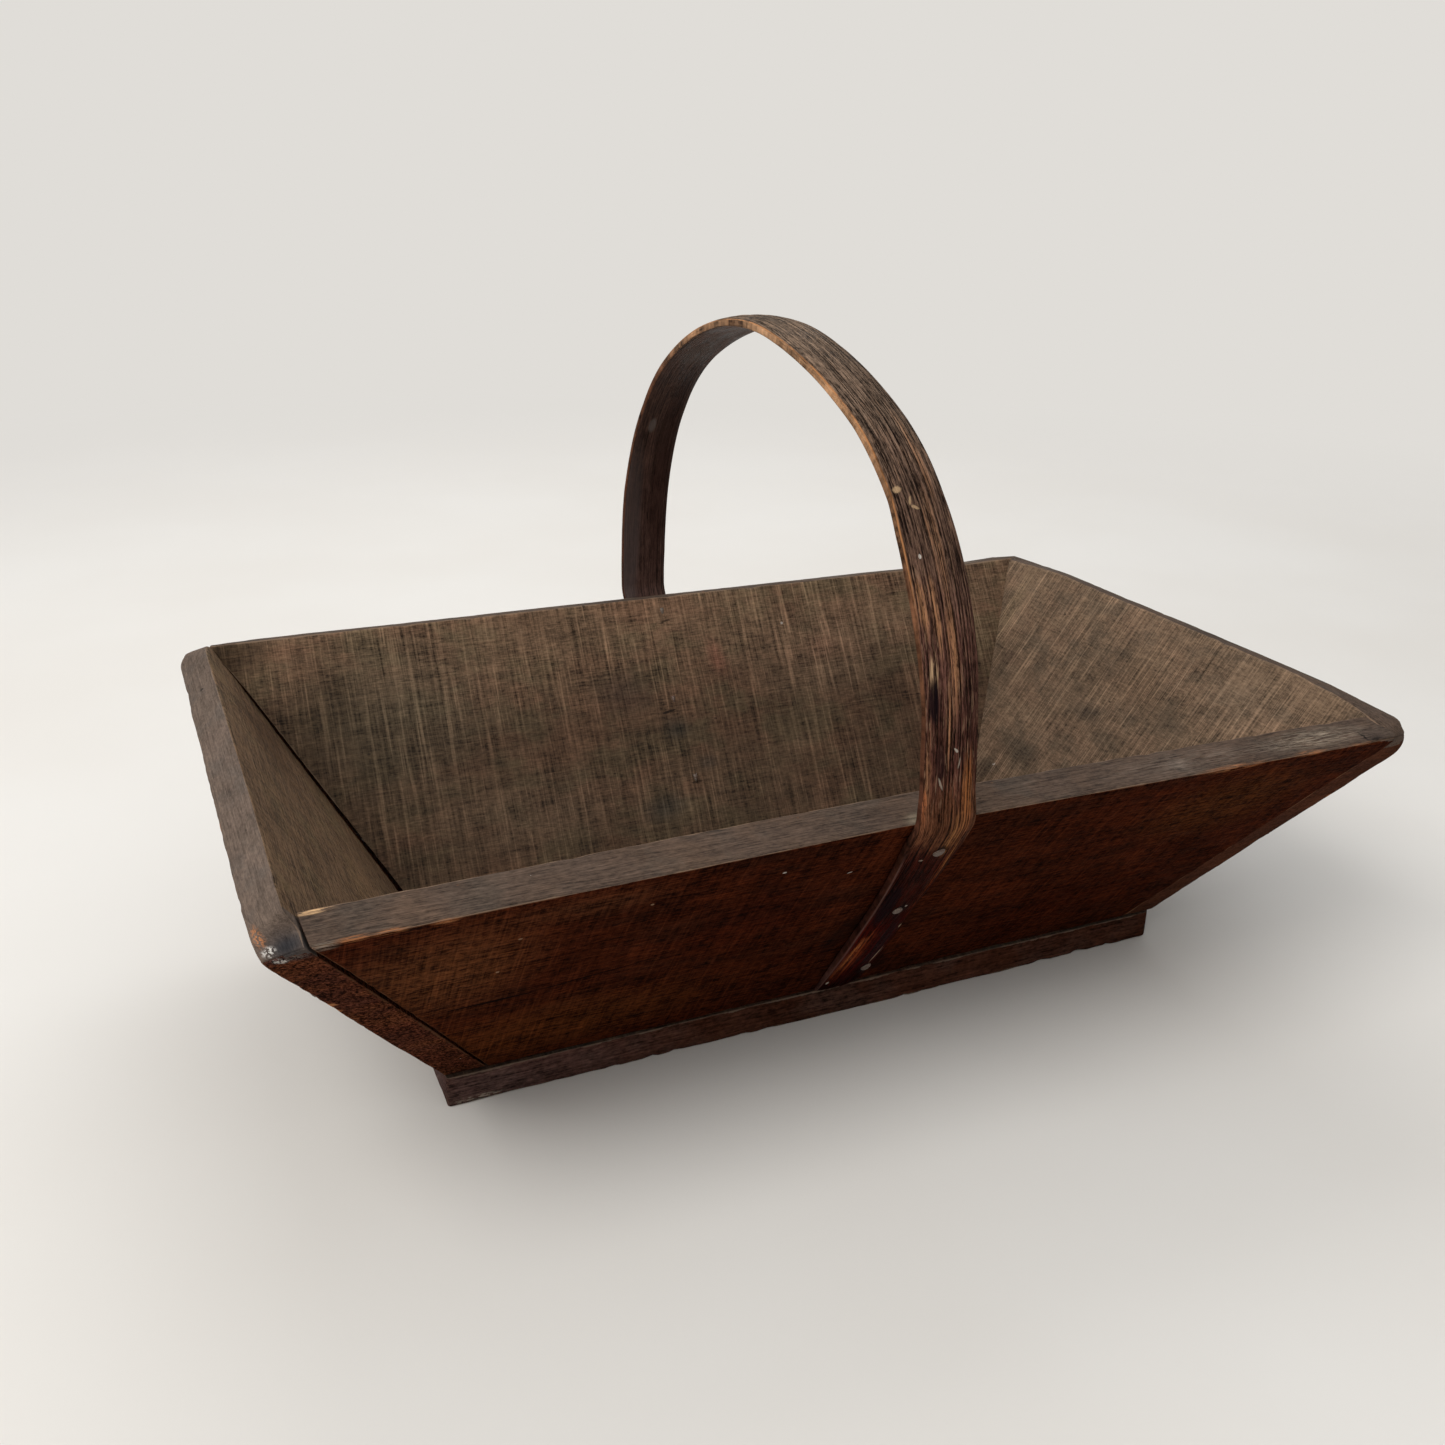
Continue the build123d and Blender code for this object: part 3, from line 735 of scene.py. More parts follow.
def hoop_line():
    """The strip's inner flat face in the plane x = 0: points, outward normals and lengths from foot to foot."""
    c, s = math.cos(SIDE_LEAN), math.sin(SIDE_LEAN)
    out, up = np.array([-c, -s]), np.array([-s, c])
    start = np.array([-side_out(FLOOR + 0.4), FLOOR + 0.4])
    rim = np.array([-RIM_HALF_WIDTH, 128.0])
    centre = rim + out * (STRIP / 2 - BEND)
    half_span = -(centre[0] - BEND)
    haunch_r, shoulder_r = HAUNCH_SHARE * half_span, SHOULDER_SHARE * half_span
    shoulder_out = half_span - haunch_r * (1 - math.cos(HAUNCH))
    crown_out = shoulder_out - shoulder_r * (math.cos(HAUNCH) - math.cos(SHOULDER))
    crown_r = crown_out / math.cos(SHOULDER)
    haunch_rise = haunch_r * math.sin(HAUNCH)
    shoulder_rise = haunch_rise + shoulder_r * (math.sin(SHOULDER) - math.sin(HAUNCH))
    rise = shoulder_rise + crown_r * (1 - math.sin(SHOULDER))
    spring = HOOP_TOP - STRIP / 2 - rise
    back = -STRIP / 2
    pieces = []

    def arc(cy, cz, r, a0, a1):
        n = max(3, int(abs(a1 - a0) * r / HOOP_STEP))
        a = np.linspace(a0, a1, n + 1)
        pieces.append(np.stack([cy - r * np.cos(a), cz + r * np.sin(a), -np.cos(a), np.sin(a)], 1))

    def line(p0, p1, normal):
        n = max(2, int(np.linalg.norm(p1 - p0) / HOOP_STEP))
        k = np.linspace(0, 1, n + 1)[:, None]
        at = p0 + (p1 - p0) * k
        pieces.append(np.concatenate([at, np.repeat([normal], n + 1, 0)], 1))

    line(start, rim, out)
    arc(centre[0], centre[1], BEND + back, -SIDE_LEAN, 0.0)
    upright = -half_span - back
    line(np.array([upright, centre[1]]), np.array([upright, spring]), np.array([-1.0, 0.0]))
    arc(-half_span + haunch_r, spring, haunch_r + back, 0.0, HAUNCH)
    shoulder_y = -shoulder_out + shoulder_r * math.cos(HAUNCH)
    shoulder_z = spring + haunch_rise - shoulder_r * math.sin(HAUNCH)
    arc(shoulder_y, shoulder_z, shoulder_r + back, HAUNCH, SHOULDER)
    arc(0.0, spring + rise - crown_r, crown_r + back, SHOULDER, math.pi / 2)
    half = np.concatenate([pieces[0]] + [piece[1:] for piece in pieces[1:]])
    whole = np.concatenate([half, half[-2::-1] * [-1, 1, -1, 1]])
    step = np.linalg.norm(np.diff(whole[:, :2], axis=0), axis=1)
    return whole, np.concatenate([[0], np.cumsum(step)])


# The strip's edges along it, (from the front foot, left, right) in millimetres
HOOP_EDGES = [
    (0, -11.8, 4.0), (2, -11.9, 5.5), (4.5, -12.0, 7.4), (8, -12.0, 8.2), (78, -12.2, 8.0), (94, -13.1, 8.9),
    (111, -14.7, 8.9), (126, -16.7, 8.7), (138, -17.5, 7.5), (152, -16.8, 5.6), (168, -16.8, 5.6),
    (183, -15.9, 6.3), (199, -15.9, 7.3), (213, -16.0, 7.5), (230, -16.2, 7.5), (245, -15.8, 7.5),
    (258, -14.6, 7.4), (275, -14.5, 7.8), (293, -14.3, 7.8), (311, -15.0, 7.0), (335, -15.6, 6.5),
    (349, -15.8, 6.6), (362, -15.8, 7.6), (385, -14.5, 9.6), (410, -12.9, 11.6), (444, -11.8, 13.2),
    (461, -11.5, 12.8), (486, -11.3, 11.9), (532, -10.9, 12.1), (558, -11.6, 12.1), (587, -12.2, 12.3),
    (622, -11.7, 13.0), (646, -11.7, 12.4), (665, -10.9, 11.5), (700, -9.9, 10.5), (770, -9.6, 10.2),
    (783, -7.6, 8.2),
]


def handle_hoop(materials):
    line, s = hoop_line()
    n = len(line)
    total = s[-1]
    from_foot = np.minimum(s, total - s)
    left_edge = table(s, [(at, left) for at, left, _ in HOOP_EDGES])
    right_edge = table(s, [(at, right) for at, _, right in HOOP_EDGES])
    middle = (left_edge + right_edge) / 2
    run = np.stack([s / 60, np.zeros(n), np.zeros(n)], 1)
    wide = right_edge - left_edge + 0.25 * fbm(run, 3, 61) * smooth(from_foot, 20, 120)
    thick = table(from_foot, [(0, 2.0), (6, 2.6), (40, 4.6), (60, 4.8), (900, 4.85)])
    rim_side = thick * table(from_foot, [(0, 0.75), (60, 0.62), (900, 0.62)])
    twist = 0.035 * fbm(run * 0.7 + 5, 2, 67) * smooth(from_foot, 130, 200)

    # The section's points, as (place across from -1 to 1, which face, or how high on a narrow side)
    outer, inner, sides = 54, 10, 5
    u_out = np.linspace(1, -1, outer)
    u_out = np.sign(u_out) * (1 - (1 - np.abs(u_out)) ** 1.15)
    u_in = np.linspace(-1, 1, inner)
    section = [(u, "out") for u in u_out]
    section += [(-1.0, k) for k in np.linspace(1, 0, sides + 2)[1:-1]]
    section += [(u, "in") for u in u_in]
    section += [(1.0, k) for k in np.linspace(0, 1, sides + 2)[1:-1]]
    m = len(section)
    U, V, edge, ridge = np.zeros((4, n, m))
    zone = np.zeros(m, int)
    half_w = wide / 2
    for j, (u, k) in enumerate(section):
        if k == "out":
            U[:, j] = u * half_w
            V[:, j] = rim_side + (thick - rim_side) * (1 - abs(u) ** 2.3)
            coarse = np.stack([s / 42, u * half_w / 0.95, np.full(n, 3.0)], 1)
            fine = np.stack([s / 16, u * half_w / 0.6, np.full(n, 8.0)], 1)
            ridge[:, j] = fbm(coarse, 2, 71) * 0.13 + fbm(fine, 2, 75) * 0.06
            V[:, j] += ridge[:, j] * smooth(1 - abs(u), 0, 0.08)
            edge[:, j] = (1 - abs(u)) * half_w
        elif k == "in":
            U[:, j] = u * half_w
            q = np.stack([s / 50, u * half_w / 3.0, np.full(n, 13.0)], 1)
            V[:, j] = np.maximum(fbm(q, 2, 81), 0) * 0.12 * smooth(from_foot, 130, 160)
            edge[:, j] = (1 - abs(u)) * half_w
            zone[j] = 2
        else:
            q = np.stack([s / 25, np.full(n, u * 9), np.full(n, k * 4)], 1)
            U[:, j] = u * (half_w + 0.12 * fbm(q, 2, 91))
            V[:, j] = rim_side * k
            edge[:, j] = np.minimum(k, 1 - k) * rim_side
            zone[j] = 1
    # Soften the four arrises
    for j in (0, outer - 1, outer + sides, outer + sides + inner - 1):
        U[:, j] *= 1 - 0.28 / half_w
    for j in (outer + sides, outer + sides + inner - 1):
        V[:, j] += 0.12
    for j in (0, outer - 1):
        V[:, j] -= 0.1

    ct, st = np.cos(twist)[:, None], np.sin(twist)[:, None]
    mid_v = thick[:, None] / 2
    Ur, Vr = U * ct - (V - mid_v) * st, U * st + (V - mid_v) * ct + mid_v
    X = middle[:, None] + Ur
    Y = line[:, 0][:, None] + line[:, 2][:, None] * (Vr + 0.12)
    Z = line[:, 1][:, None] + line[:, 3][:, None] * (Vr + 0.12)
    co = np.stack([X, Y, Z], -1).reshape(-1, 3)
    co[:, 1] = np.clip(co[:, 1], -HOOP_REACH, HOOP_REACH)
    co[:, 2] = np.clip(co[:, 2], FLOOR + 0.3, HOOP_TOP)

    ring = np.arange(m)
    nxt = (ring + 1) % m
    base = (np.arange(n - 1) * m)[:, None]
    faces = np.stack([base + ring, base + nxt, base + m + nxt, base + m + ring], -1).reshape(-1, 4)
    groups = np.tile(np.where((zone == 1) | (zone[nxt] == 1), 1, zone), n - 1)
    if volume_sign(co, faces) < 0:
        faces = faces[:, ::-1]
    quads = [tuple(f) for f in faces.tolist()]
    # Close the two ends with a fan of triangles
    caps = []
    for start in (0, (n - 1) * m):
        middle_index = len(co) + len(caps)
        caps.append(co[start : start + m].mean(0))
        for j in range(m):
            a, b = start + j, start + (j + 1) % m
            quads.append((a, b, middle_index) if start else (b, a, middle_index))
    groups = np.append(groups, [1] * 2 * m)
    co = np.concatenate([co, np.array(caps)])
    third = np.where(zone == 0, ridge, 0.05)
    grain = np.stack([np.repeat(s, m), U.reshape(-1), third.reshape(-1)], 1)
    grain = np.concatenate([grain, [[0, 0, 0.05], [total, 0, 0.05]]])
    edge = np.concatenate([edge.reshape(-1), [1.0, 1.0]])
    mesh_piece("handle_hoop_split", co, quads, materials, groups, grain, edge, "handle_hoop")


# Nails
def ring_faces(count, sides):
    """Quads between rings of points that follow one point at the start."""
    faces = []
    for a in range(1, 1 + (count - 1) * sides, sides):
        faces += [(a + j, a + sides + j, a + sides + (j + 1) % sides, a + (j + 1) % sides) for j in range(sides)]
    return faces


def nail_mesh(length, clench, seed):
    """A wire nail, head up: a worn domed head, a shank, and a point that is bent over if clench is given."""
    rng = np.random.default_rng(seed)
    sides, head, shank = 20, 2.35, 1.1
    rings = [(0.9, 1.02), (1.6, 0.93), (2.05, 0.75), (head, 0.45), (head, 0.2), (2.2, 0.0), (shank, -0.05)]
    straight = length - (1.5 if clench else 3.0)
    rings += [(shank, z) for z in np.linspace(-1, -straight, 6)]
    co = [(0, 0, 1.05)]
    angle = np.arange(sides) / sides * 2 * math.pi
    oval = 1 + 0.07 * np.cos(2 * angle + rng.uniform(0, 6)) + 0.04 * np.cos(3 * angle + rng.uniform(0, 6))
    tilt = rng.uniform(-0.06, 0.06, 2)
    for r, z in rings:
        wave = oval if r > shank + 0.01 else 1
        x, y = r * np.cos(angle) * wave, r * np.sin(angle) * wave
        lift = (x * tilt[0] + y * tilt[1]) * (r > shank + 0.01)
        co += list(zip(x, y, z + lift))
    if clench:
        bend = 1.2
        for turn in np.linspace(0.2, 1.0, 5) * math.pi / 2:
            cy, cz = -bend * (1 - math.cos(turn)), -straight - bend * math.sin(turn)
            x, y = shank * np.cos(angle), shank * np.sin(angle)
            co += list(zip(x, cy + y * math.cos(turn), cz + y * math.sin(turn)))
        for along, r in ((1.5, shank), (2.4, 0.85), (3.8, 0.3)):
            x, y = r * np.cos(angle), r * np.sin(angle)
            co += list(zip(x, np.full(sides, -bend - along), -straight - bend + y))
        co.append((0, -bend - 4.1, -straight - bend))
    else:
        for z, r in ((-straight - 1.5, 0.75), (-length + 0.3, 0.25)):
            co += list(zip(r * np.cos(angle), r * np.sin(angle), np.full(sides, z)))
        co.append((0, 0, -length))
    co = np.array(co, float)
    count = (len(co) - 2) // sides
    faces = [(1 + j, 1 + (j + 1) % sides, 0) for j in range(sides)] + ring_faces(count, sides)
    last = 1 + (count - 1) * sides
    faces += [(last + j, len(co) - 1, last + (j + 1) % sides) for j in range(sides)]
    return co, faces


def nails(node, places, material, length, clench=False, seed=0):
    """One piece of like nails. places are (origin, outward, across) in millimetres."""
    all_co, all_faces, grains = [], [], []
    for k, (origin, outward, across) in enumerate(places):
        co, faces = nail_mesh(length, clench, seed + k)
        zc = np.array(outward, float) / np.linalg.norm(outward)
        xc = np.array(across, float) / np.linalg.norm(across)
        yc = np.cross(zc, xc)
        base = sum(len(c) for c in all_co)
        all_co.append(np.array(origin) + co[:, :1] * xc + co[:, 1:2] * yc + co[:, 2:] * zc)
        all_faces += [tuple(base + i for i in f) for f in faces]
        grains.append(co + [k * 40.0, 0, 0])
    co, grain = np.concatenate(all_co), np.concatenate(grains)
    groups, edge = [0] * len(all_faces), np.full(len(co), 9.0)
    mesh_piece(node + "_iron", co, all_faces, [material], groups, grain, edge, node)


# Lengths, and how deep the heads of the hidden nails lie
HOOP_NAIL, CORNER_NAIL, BASE_NAIL = 22.4, 32, 27
CORNER_SUNK, BASE_SUNK = 0.95, 1.4
CORNER_HEIGHTS = (32, 66, 98)


def foot_places(nail_places, sign, seats):
    """seats is how far each head stands off the board's face, on the strip."""
    outward = np.array([0, sign * math.cos(SIDE_LEAN), -math.sin(SIDE_LEAN)])
    return [
        (np.array([x, sign * side_out(z), z]) + outward * seat, outward, (-sign * 1.0, 0, 0))
        for (x, z), seat in zip(nail_places, seats)
    ]


def corner_places(end, side):
    c, s = math.cos(END_LEAN), math.sin(END_LEAN)
    # A nail climbs as it goes in, and two thirds along it lies in the middle of the long board
    rise = CORNER_NAIL * s * 0.67
    places = []
    for z in CORNER_HEIGHTS:
        y = side * (side_out(z + rise) - SIDE_BAND / 2)
        origin = (end * (end_out(z) - c * CORNER_SUNK), y, z + s * CORNER_SUNK)
        places.append((origin, (end * c, 0, -s), (0, 1, 0)))
    return places


def base_places(points):
    return [((x, y, BASE_SUNK), (0, 0, -1), (1, 0, 0)) for x, y in points]


# Finishes
SLIT, DAMP, FLECK, PAINT, PALE_PAINT = (9, 7, 6), (44, 46, 44), (150, 120, 96), (43, 43, 46), (222, 216, 208)


def on_face(deep, reach, *rows):
    """Marks that lie on one face. rows are (colour, strength, along, up, half length, half height, turn if any)."""
    return [(tint, strength, (x, y, deep), (a, b, reach), *turn) for tint, strength, x, y, a, b, *turn in rows]


BACK_TINTS = on_face(
    17, 6,
    ((112, 70, 57), 0.5, 26.4, 104.4, 8, 16, 12), ((110, 70, 58), 0.35, 90.4, 102.5, 14, 10),
    (DAMP, 0.6, -5.4, 68.4, 12, 9), (DAMP, 0.55, -20.6, 27.7, 19, 11, 8), ((48, 48, 46), 0.4, 8, 48, 9, 7),
    ((60, 46, 41), 0.5, -30, 92, 26, 18), ((70, 54, 40), 0.75, -172, 100, 40, 46),
    ((82, 72, 57), 0.6, -150, 96, 80, 60), ((44, 33, 22), 0.85, -224, 136, 28, 26),
    ((44, 33, 23), 0.3, -190, 104, 46, 34), ((116, 94, 75), 0.45, 92, 98, 76, 42),
    ((110, 90, 72), 0.4, -90, 36, 76, 26),
)
BACK_MARKS = on_face(
    17, 6,
    (SOOT_AND_SHADOW, 0.75, 1.4, 127.6, 5.5, 1.1, 2), (SOOT_AND_SHADOW, 0.8, -7.3, 78.2, 4.5, 0.8, 12),
    (SOOT_AND_SHADOW, 0.55, -0.1, 38.4, 4, 0.9, 4), (WHITE, 0.6, 69, 119, 0.9, 0.9),
)
RIGHT_TINTS = on_face(
    14, 8,
    ((74, 56, 48), 0.5, 90, 85, 12, 8), ((70, 62, 52), 0.55, -41, 93.5, 20, 10, 20),
    ((66, 58, 50), 0.6, 14, 78, 18, 9), ((60, 54, 46), 0.45, 40, 40, 26, 15),
    ((150, 128, 100), 0.4, 112, 110, 9, 38), ((136, 114, 93), 0.4, -72, 119, 44, 32),
    ((100, 80, 62), 0.5, -6, 104, 32, 22), ((50, 44, 38), 0.5, 62, 22, 12, 10),
)
RIGHT_MARKS = on_face(14, 8, (SOOT_AND_SHADOW, 0.8, 68.4, 120.2, 1.5, 1.2), (WHITE, 0.5, 56, 27, 1.2, 1))
LEFT_TINTS = on_face(14, 8, ((86, 63, 43), 0.8, 76, 108, 60, 32), ((132, 102, 73), 0.55, -20, 56, 90, 28))
LEFT_MARKS = on_face(14, 8, (WHITE, 0.7, -63, 52, 0.9, 1.6))
FRONT_TINTS = on_face(
    0, 8,
    ((88, 52, 30), 0.85, -184, 98, 48, 50), ((78, 46, 28), 0.5, -140, 128, 50, 14),
    # The tint at -134 along, 28 up is painted light that lifts the shade on the front board's lower left
    ((80, 43, 20), 0.65, -134, 28, 96, 36), ((50, 17, 8), 0.5, -66, 88, 36, 34),
    ((76, 42, 20), 0.75, 150, 106, 60, 36), ((48, 15, 5), 0.3, 98, 36, 84, 32),
)
FRONT_MARKS = on_face(
    0, 8,
    (SLIT, 1, -163, 65.2, 19, 0.8, 1), (SLIT, 0.9, -126, 69, 28, 0.6, 8), (WHITE, 0.7, -63.6, 123.6, 0.9, 0.6),
    (WHITE, 0.6, -33.4, 112.5, 1.2, 0.4, 20), (WHITE, 0.5, -3.4, 112, 0.9, 0.5, 40),
    (FLECK, 0.6, -113, 119, 0.8, 0.7), (FLECK, 0.6, -164, 90, 0.9, 0.8), (FLECK, 0.5, -159, 113, 0.9, 0.8),
    # The last two are painted contact shadow beside the hoop's front foot, with some dirt
    (SOOT_AND_SHADOW, 0.6, -16, 56, 8, 30, -14), (SOOT_AND_SHADOW, 0.6, 12, 18, 10, 14, 6),
)
RIM_TINTS = (
    ((150, 138, 116), 0.6, (-13, 140.5, 3), (9, 8, 6)), ((118, 106, 96), 0.5, (112, 138, 8), (8, 8, 7)),
    ((64, 50, 42), 0.6, (150, 138, 8), (50, 10, 14)), ((60, 48, 41), 0.6, (-24, 138, 8), (22, 10, 14)),
    ((66, 54, 48), 0.6, (216, 136.5, 5), (11, 8, 12)),
)
RIM_MARKS = ((SLIT, 0.9, (210.5, 137.2, 5), (1.2, 4, 4.5)), (SLIT, 0.7, (215, 136.5, 2.5), (5, 4, 1.2)))
RIM_CHIPS = (
    (ORANGE, 0.95, (-214.5, 137.3, 0.6), (8, 2.4, 2.2)), (ORANGE, 0.9, (-203.5, 137.4, 0.4), (8.5, 2.2, 1.8)),
    (SOOT_AND_SHADOW, 0.85, (-195, 137.3, 0.2), (4, 2.4, 1.7)), (ORANGE, 0.7, (-186, 137.6, 0.2), (6, 2.2, 1.3)),
    ((138, 124, 110), 0.8, (-223, 136.2, 0.2), (6, 3.6, 3)), ((200, 162, 120), 1, (-224, 139.3, 16.9), (9, 1.8, 2)),
    (ORANGE, 0.85, (134, 137.6, 0.6), (22, 2.6, 2.2)), (ORANGE, 0.8, (176, 137.4, 0.6), (12, 2.6, 2.6)),
    (ORANGE, 0.8, (205, 137, 0.5), (10, 2.6, 2)), ((158, 144, 126), 0.55, (186, 138.5, 9.5), (42, 6, 9)),
    ((124, 110, 98), 0.4, (120, 139, 9), (60, 8, 11)),
)
RIM_END_TINTS = ((PAINT, 0.95, (-151, 131.5, 9.5), (12.5, 9, 11.5)),)
RIM_END_MARKS = ((SOOT_AND_SHADOW, 0.8, (74, 138, 8), (1.8, 6, 1.6)),)
TIP_TINTS = ((PAINT, 0.7, (-153, 128.5, 8), (5, 3.5, 12)),)
TIP_CHIPS = (
    (ORANGE, 0.95, (-143.5, 133, 2.6), (9, 4, 2.6)), (PALE_PAINT, 1, (-150.2, 130.6, 3.8), (3.6, 3, 3)),
    (PALE_PAINT, 0.9, (-153, 127.6, 5), (2.6, 2.2, 2.6)), ((150, 140, 130), 0.4, (-156, 128, 9), (6, 3, 5)),
)

inner_back = wood(
    "inner_back", (95, 75, 58), (99, 75, 58), (91, 75, 57), saw=1, saw_turn=0.5, uneven=0.8, fine=1, grain=0.7,
    pores=0.45, foot=0.1, top=1.75, tints=BACK_TINTS, marks=BACK_MARKS, line=(120, 100, 82), line_width=0.4,
    specks=0.05,
)
inner_front = wood(
    "inner_front", (98, 78, 61), (104, 78, 62), (92, 76, 58), saw=1, saw_turn=-3, grain=0.7, foot=0.3, top=1.3,
    line=(120, 100, 82), line_width=0.4, specks=0.05,
)
inner_left = wood(
    "inner_left", (112, 88, 66), (114, 89, 66), (111, 90, 66), saw=0.6, uneven=0.9, fine=1.2, grain=1.5,
    fibre=(46, 1), pores=0.6, foot=0.1, tints=LEFT_TINTS, marks=LEFT_MARKS, specks=0.05,
)
inner_right = wood(
    "inner_right", (122, 100, 80), (125, 101, 81), (108, 90, 73), patch=(44, 24), saw=0.9, saw_turn=-6, saw_pitch=1,
    saw_tone=0.6, uneven=0.7, fine=1, grain=0.4, pores=0.3, foot=0.3, top=1.2, tints=RIGHT_TINTS, marks=RIGHT_MARKS,
    specks=0.05,
)
rim_side = wood(
    "rim_side", (82, 67, 57), (86, 69, 57), (78, 66, 57), patch=(40, 20), uneven=0.7, fine=1.1, grain=1.5,
    fibre=(40, 0.5), pores=0.3, foot=0, line=(132, 108, 88), line_width=0.45, raw=0.15, specks=0.3,
    rough=(0.82, 0.95), specular=0.1, tints=RIM_TINTS, marks=RIM_MARKS, chips=RIM_CHIPS, crumb=(10, 0.4),
)
rim_end = wood(
    "rim_end", (98, 84, 74), (103, 88, 78), (93, 82, 74), patch=(40, 20), uneven=0.6, fine=0.9, grain=0.9,
    fibre=(26, 0.6), pores=0.2, foot=0, line=(126, 106, 90), line_width=0.45, raw=0.1, specks=0.2,
    rough=(0.84, 0.96), specular=0.1, tints=RIM_END_TINTS, marks=RIM_END_MARKS, chips=TIP_CHIPS,
)
outer_side = wood(
    "outer_side", (58, 25, 12), (63, 27, 13), (52, 24, 13), patch=(80, 26), uneven=1.2, fine=2.3, grain=1.7, saw=1,
    saw_turn=2, saw_pitch=1.3, saw_tone=0.35, pores=0.3, foot=0, line=(92, 62, 44), line_width=0.4, raw=0.2,
    specks=0.12, rough=(0.7, 0.9), specular=0.005, tints=FRONT_TINTS, marks=FRONT_MARKS, chips=RIM_CHIPS,
    crumb=(10, 0.4),
)
outer_end = wood(
    "outer_end", (58, 29, 15), (64, 33, 18), (58, 35, 22), patch=(60, 36), uneven=1, fine=3, grain=1.6, saw=1.2,
    saw_turn=-4, saw_pitch=1.6, pores=0.5, foot=0.25, line=(92, 64, 46), line_width=0.5, raw=0.3, specks=0.12,
    rough=(0.7, 0.9), specular=0.005,
)
end_grain = wood(
    "end_grain", (77, 41, 28), (85, 48, 30), (67, 37, 27), patch=(22, 18), uneven=1.6, fine=6, grain=1.5,
    fibre=(2.4, 0.9), saw=0.4, saw_turn=8, saw_pitch=1, pores=0.9, foot=0.2, line=(96, 66, 46), line_width=0.5,
    raw=0.2, specks=0.7, rough=(0.8, 0.95), specular=0.005, bump=1, speck=(1.4, 1), tints=TIP_TINTS,
    chips=TIP_CHIPS,
)
end_strip = wood(
    "end_strip", (74, 44, 31), (78, 47, 33), (68, 42, 32), patch=(30, 18), uneven=0.8, fine=1.4, grain=0.9, saw=0.3,
    pores=0.3, foot=0.1, line=(120, 88, 64), line_width=0.5, raw=0.15, specks=0.2, rough=(0.75, 0.9),
    specular=0.005,
)
base_edge = wood(
    "base_edge", (66, 40, 30), (62, 35, 24), (70, 48, 40), patch=(70, 20), uneven=1.2, fine=1.8, grain=1.6,
    pores=0.4, foot=0, line=(112, 95, 82), line_width=0.6, raw=0.1, raw_colour=(120, 96, 76), specks=0.12,
    rough=(0.7, 0.88), specular=0.01,
    tints=on_face(7, 26, ((104, 88, 88), 0.8, 744, 0, 130, 120), ((48, 19, 4), 0.9, 1040, 0, 130, 120)),
    chips=on_face(1.5, 2.2, ((150, 138, 124), 0.7, 738, -80, 14, 9)), crumb=(3, 0.8),
)
base_inside = wood(
    "base_inside", (76, 60, 48), (82, 62, 50), (66, 56, 46), saw=0.8, uneven=1.2, pores=0.5, foot=0, specks=0.1,
)
base_under = wood(
    "base_under", (78, 56, 42), (88, 62, 46), (72, 58, 46), saw=0.9, uneven=1.2, pores=0.5, foot=0,
    line=(112, 90, 72), specks=0.1,
)

TAN, OCHRE, CREAM, PLUM, RUST = (156, 112, 80), (130, 88, 54), (178, 148, 114), (20, 13, 17), (112, 52, 26)
HOOP_ZONES = (
    (0, (28, 5, 3)), (45, (60, 12, 6)), (85, (37, 8, 4)), (118, (50, 19, 12)), (142, (88, 55, 38)),
    (165, (67, 41, 34)), (195, (79, 53, 45)), (250, (86, 66, 55)), (300, (98, 81, 68)), (370, (107, 89, 74)),
    (430, (98, 80, 65)), (520, (68, 47, 38)), (640, (52, 28, 20)), (783.4, (36, 12, 8)),
)
HOOP_RAW = on_face(
    0, 9,
    (RUST, 0.9, 36, -5.5, 34, 4.4, 3), ((138, 82, 46), 0.8, 40, -6.5, 26, 1.8, 3), (RUST, 0.75, 100, 7.5, 36, 2.6),
    (OCHRE, 0.5, 118, 8.6, 20, 2), ((150, 94, 54), 0.8, 152, 6.4, 22, 4), (OCHRE, 0.7, 134, 3.5, 16, 5),
    (TAN, 0.85, 200, 0.6, 26, 3), (TAN, 0.7, 178, -2.1, 20, 2.2), (TAN, 0.9, 219, -9.2, 14, 3.2),
    (TAN, 0.8, 216, -4.5, 20, 2), (CREAM, 0.75, 196, -7.9, 10, 2.2), (TAN, 0.5, 240, 1, 26, 3.5),
    (TAN, 0.45, 275, 5, 30, 2.4), (TAN, 0.5, 160, -9.8, 22, 1.6), ((176, 104, 66), 0.8, 151, -10.6, 9, 1.4),
    (TAN, 0.4, 600, 0, 50, 5), (OCHRE, 0.8, 730, 1, 44, 4.5),
)
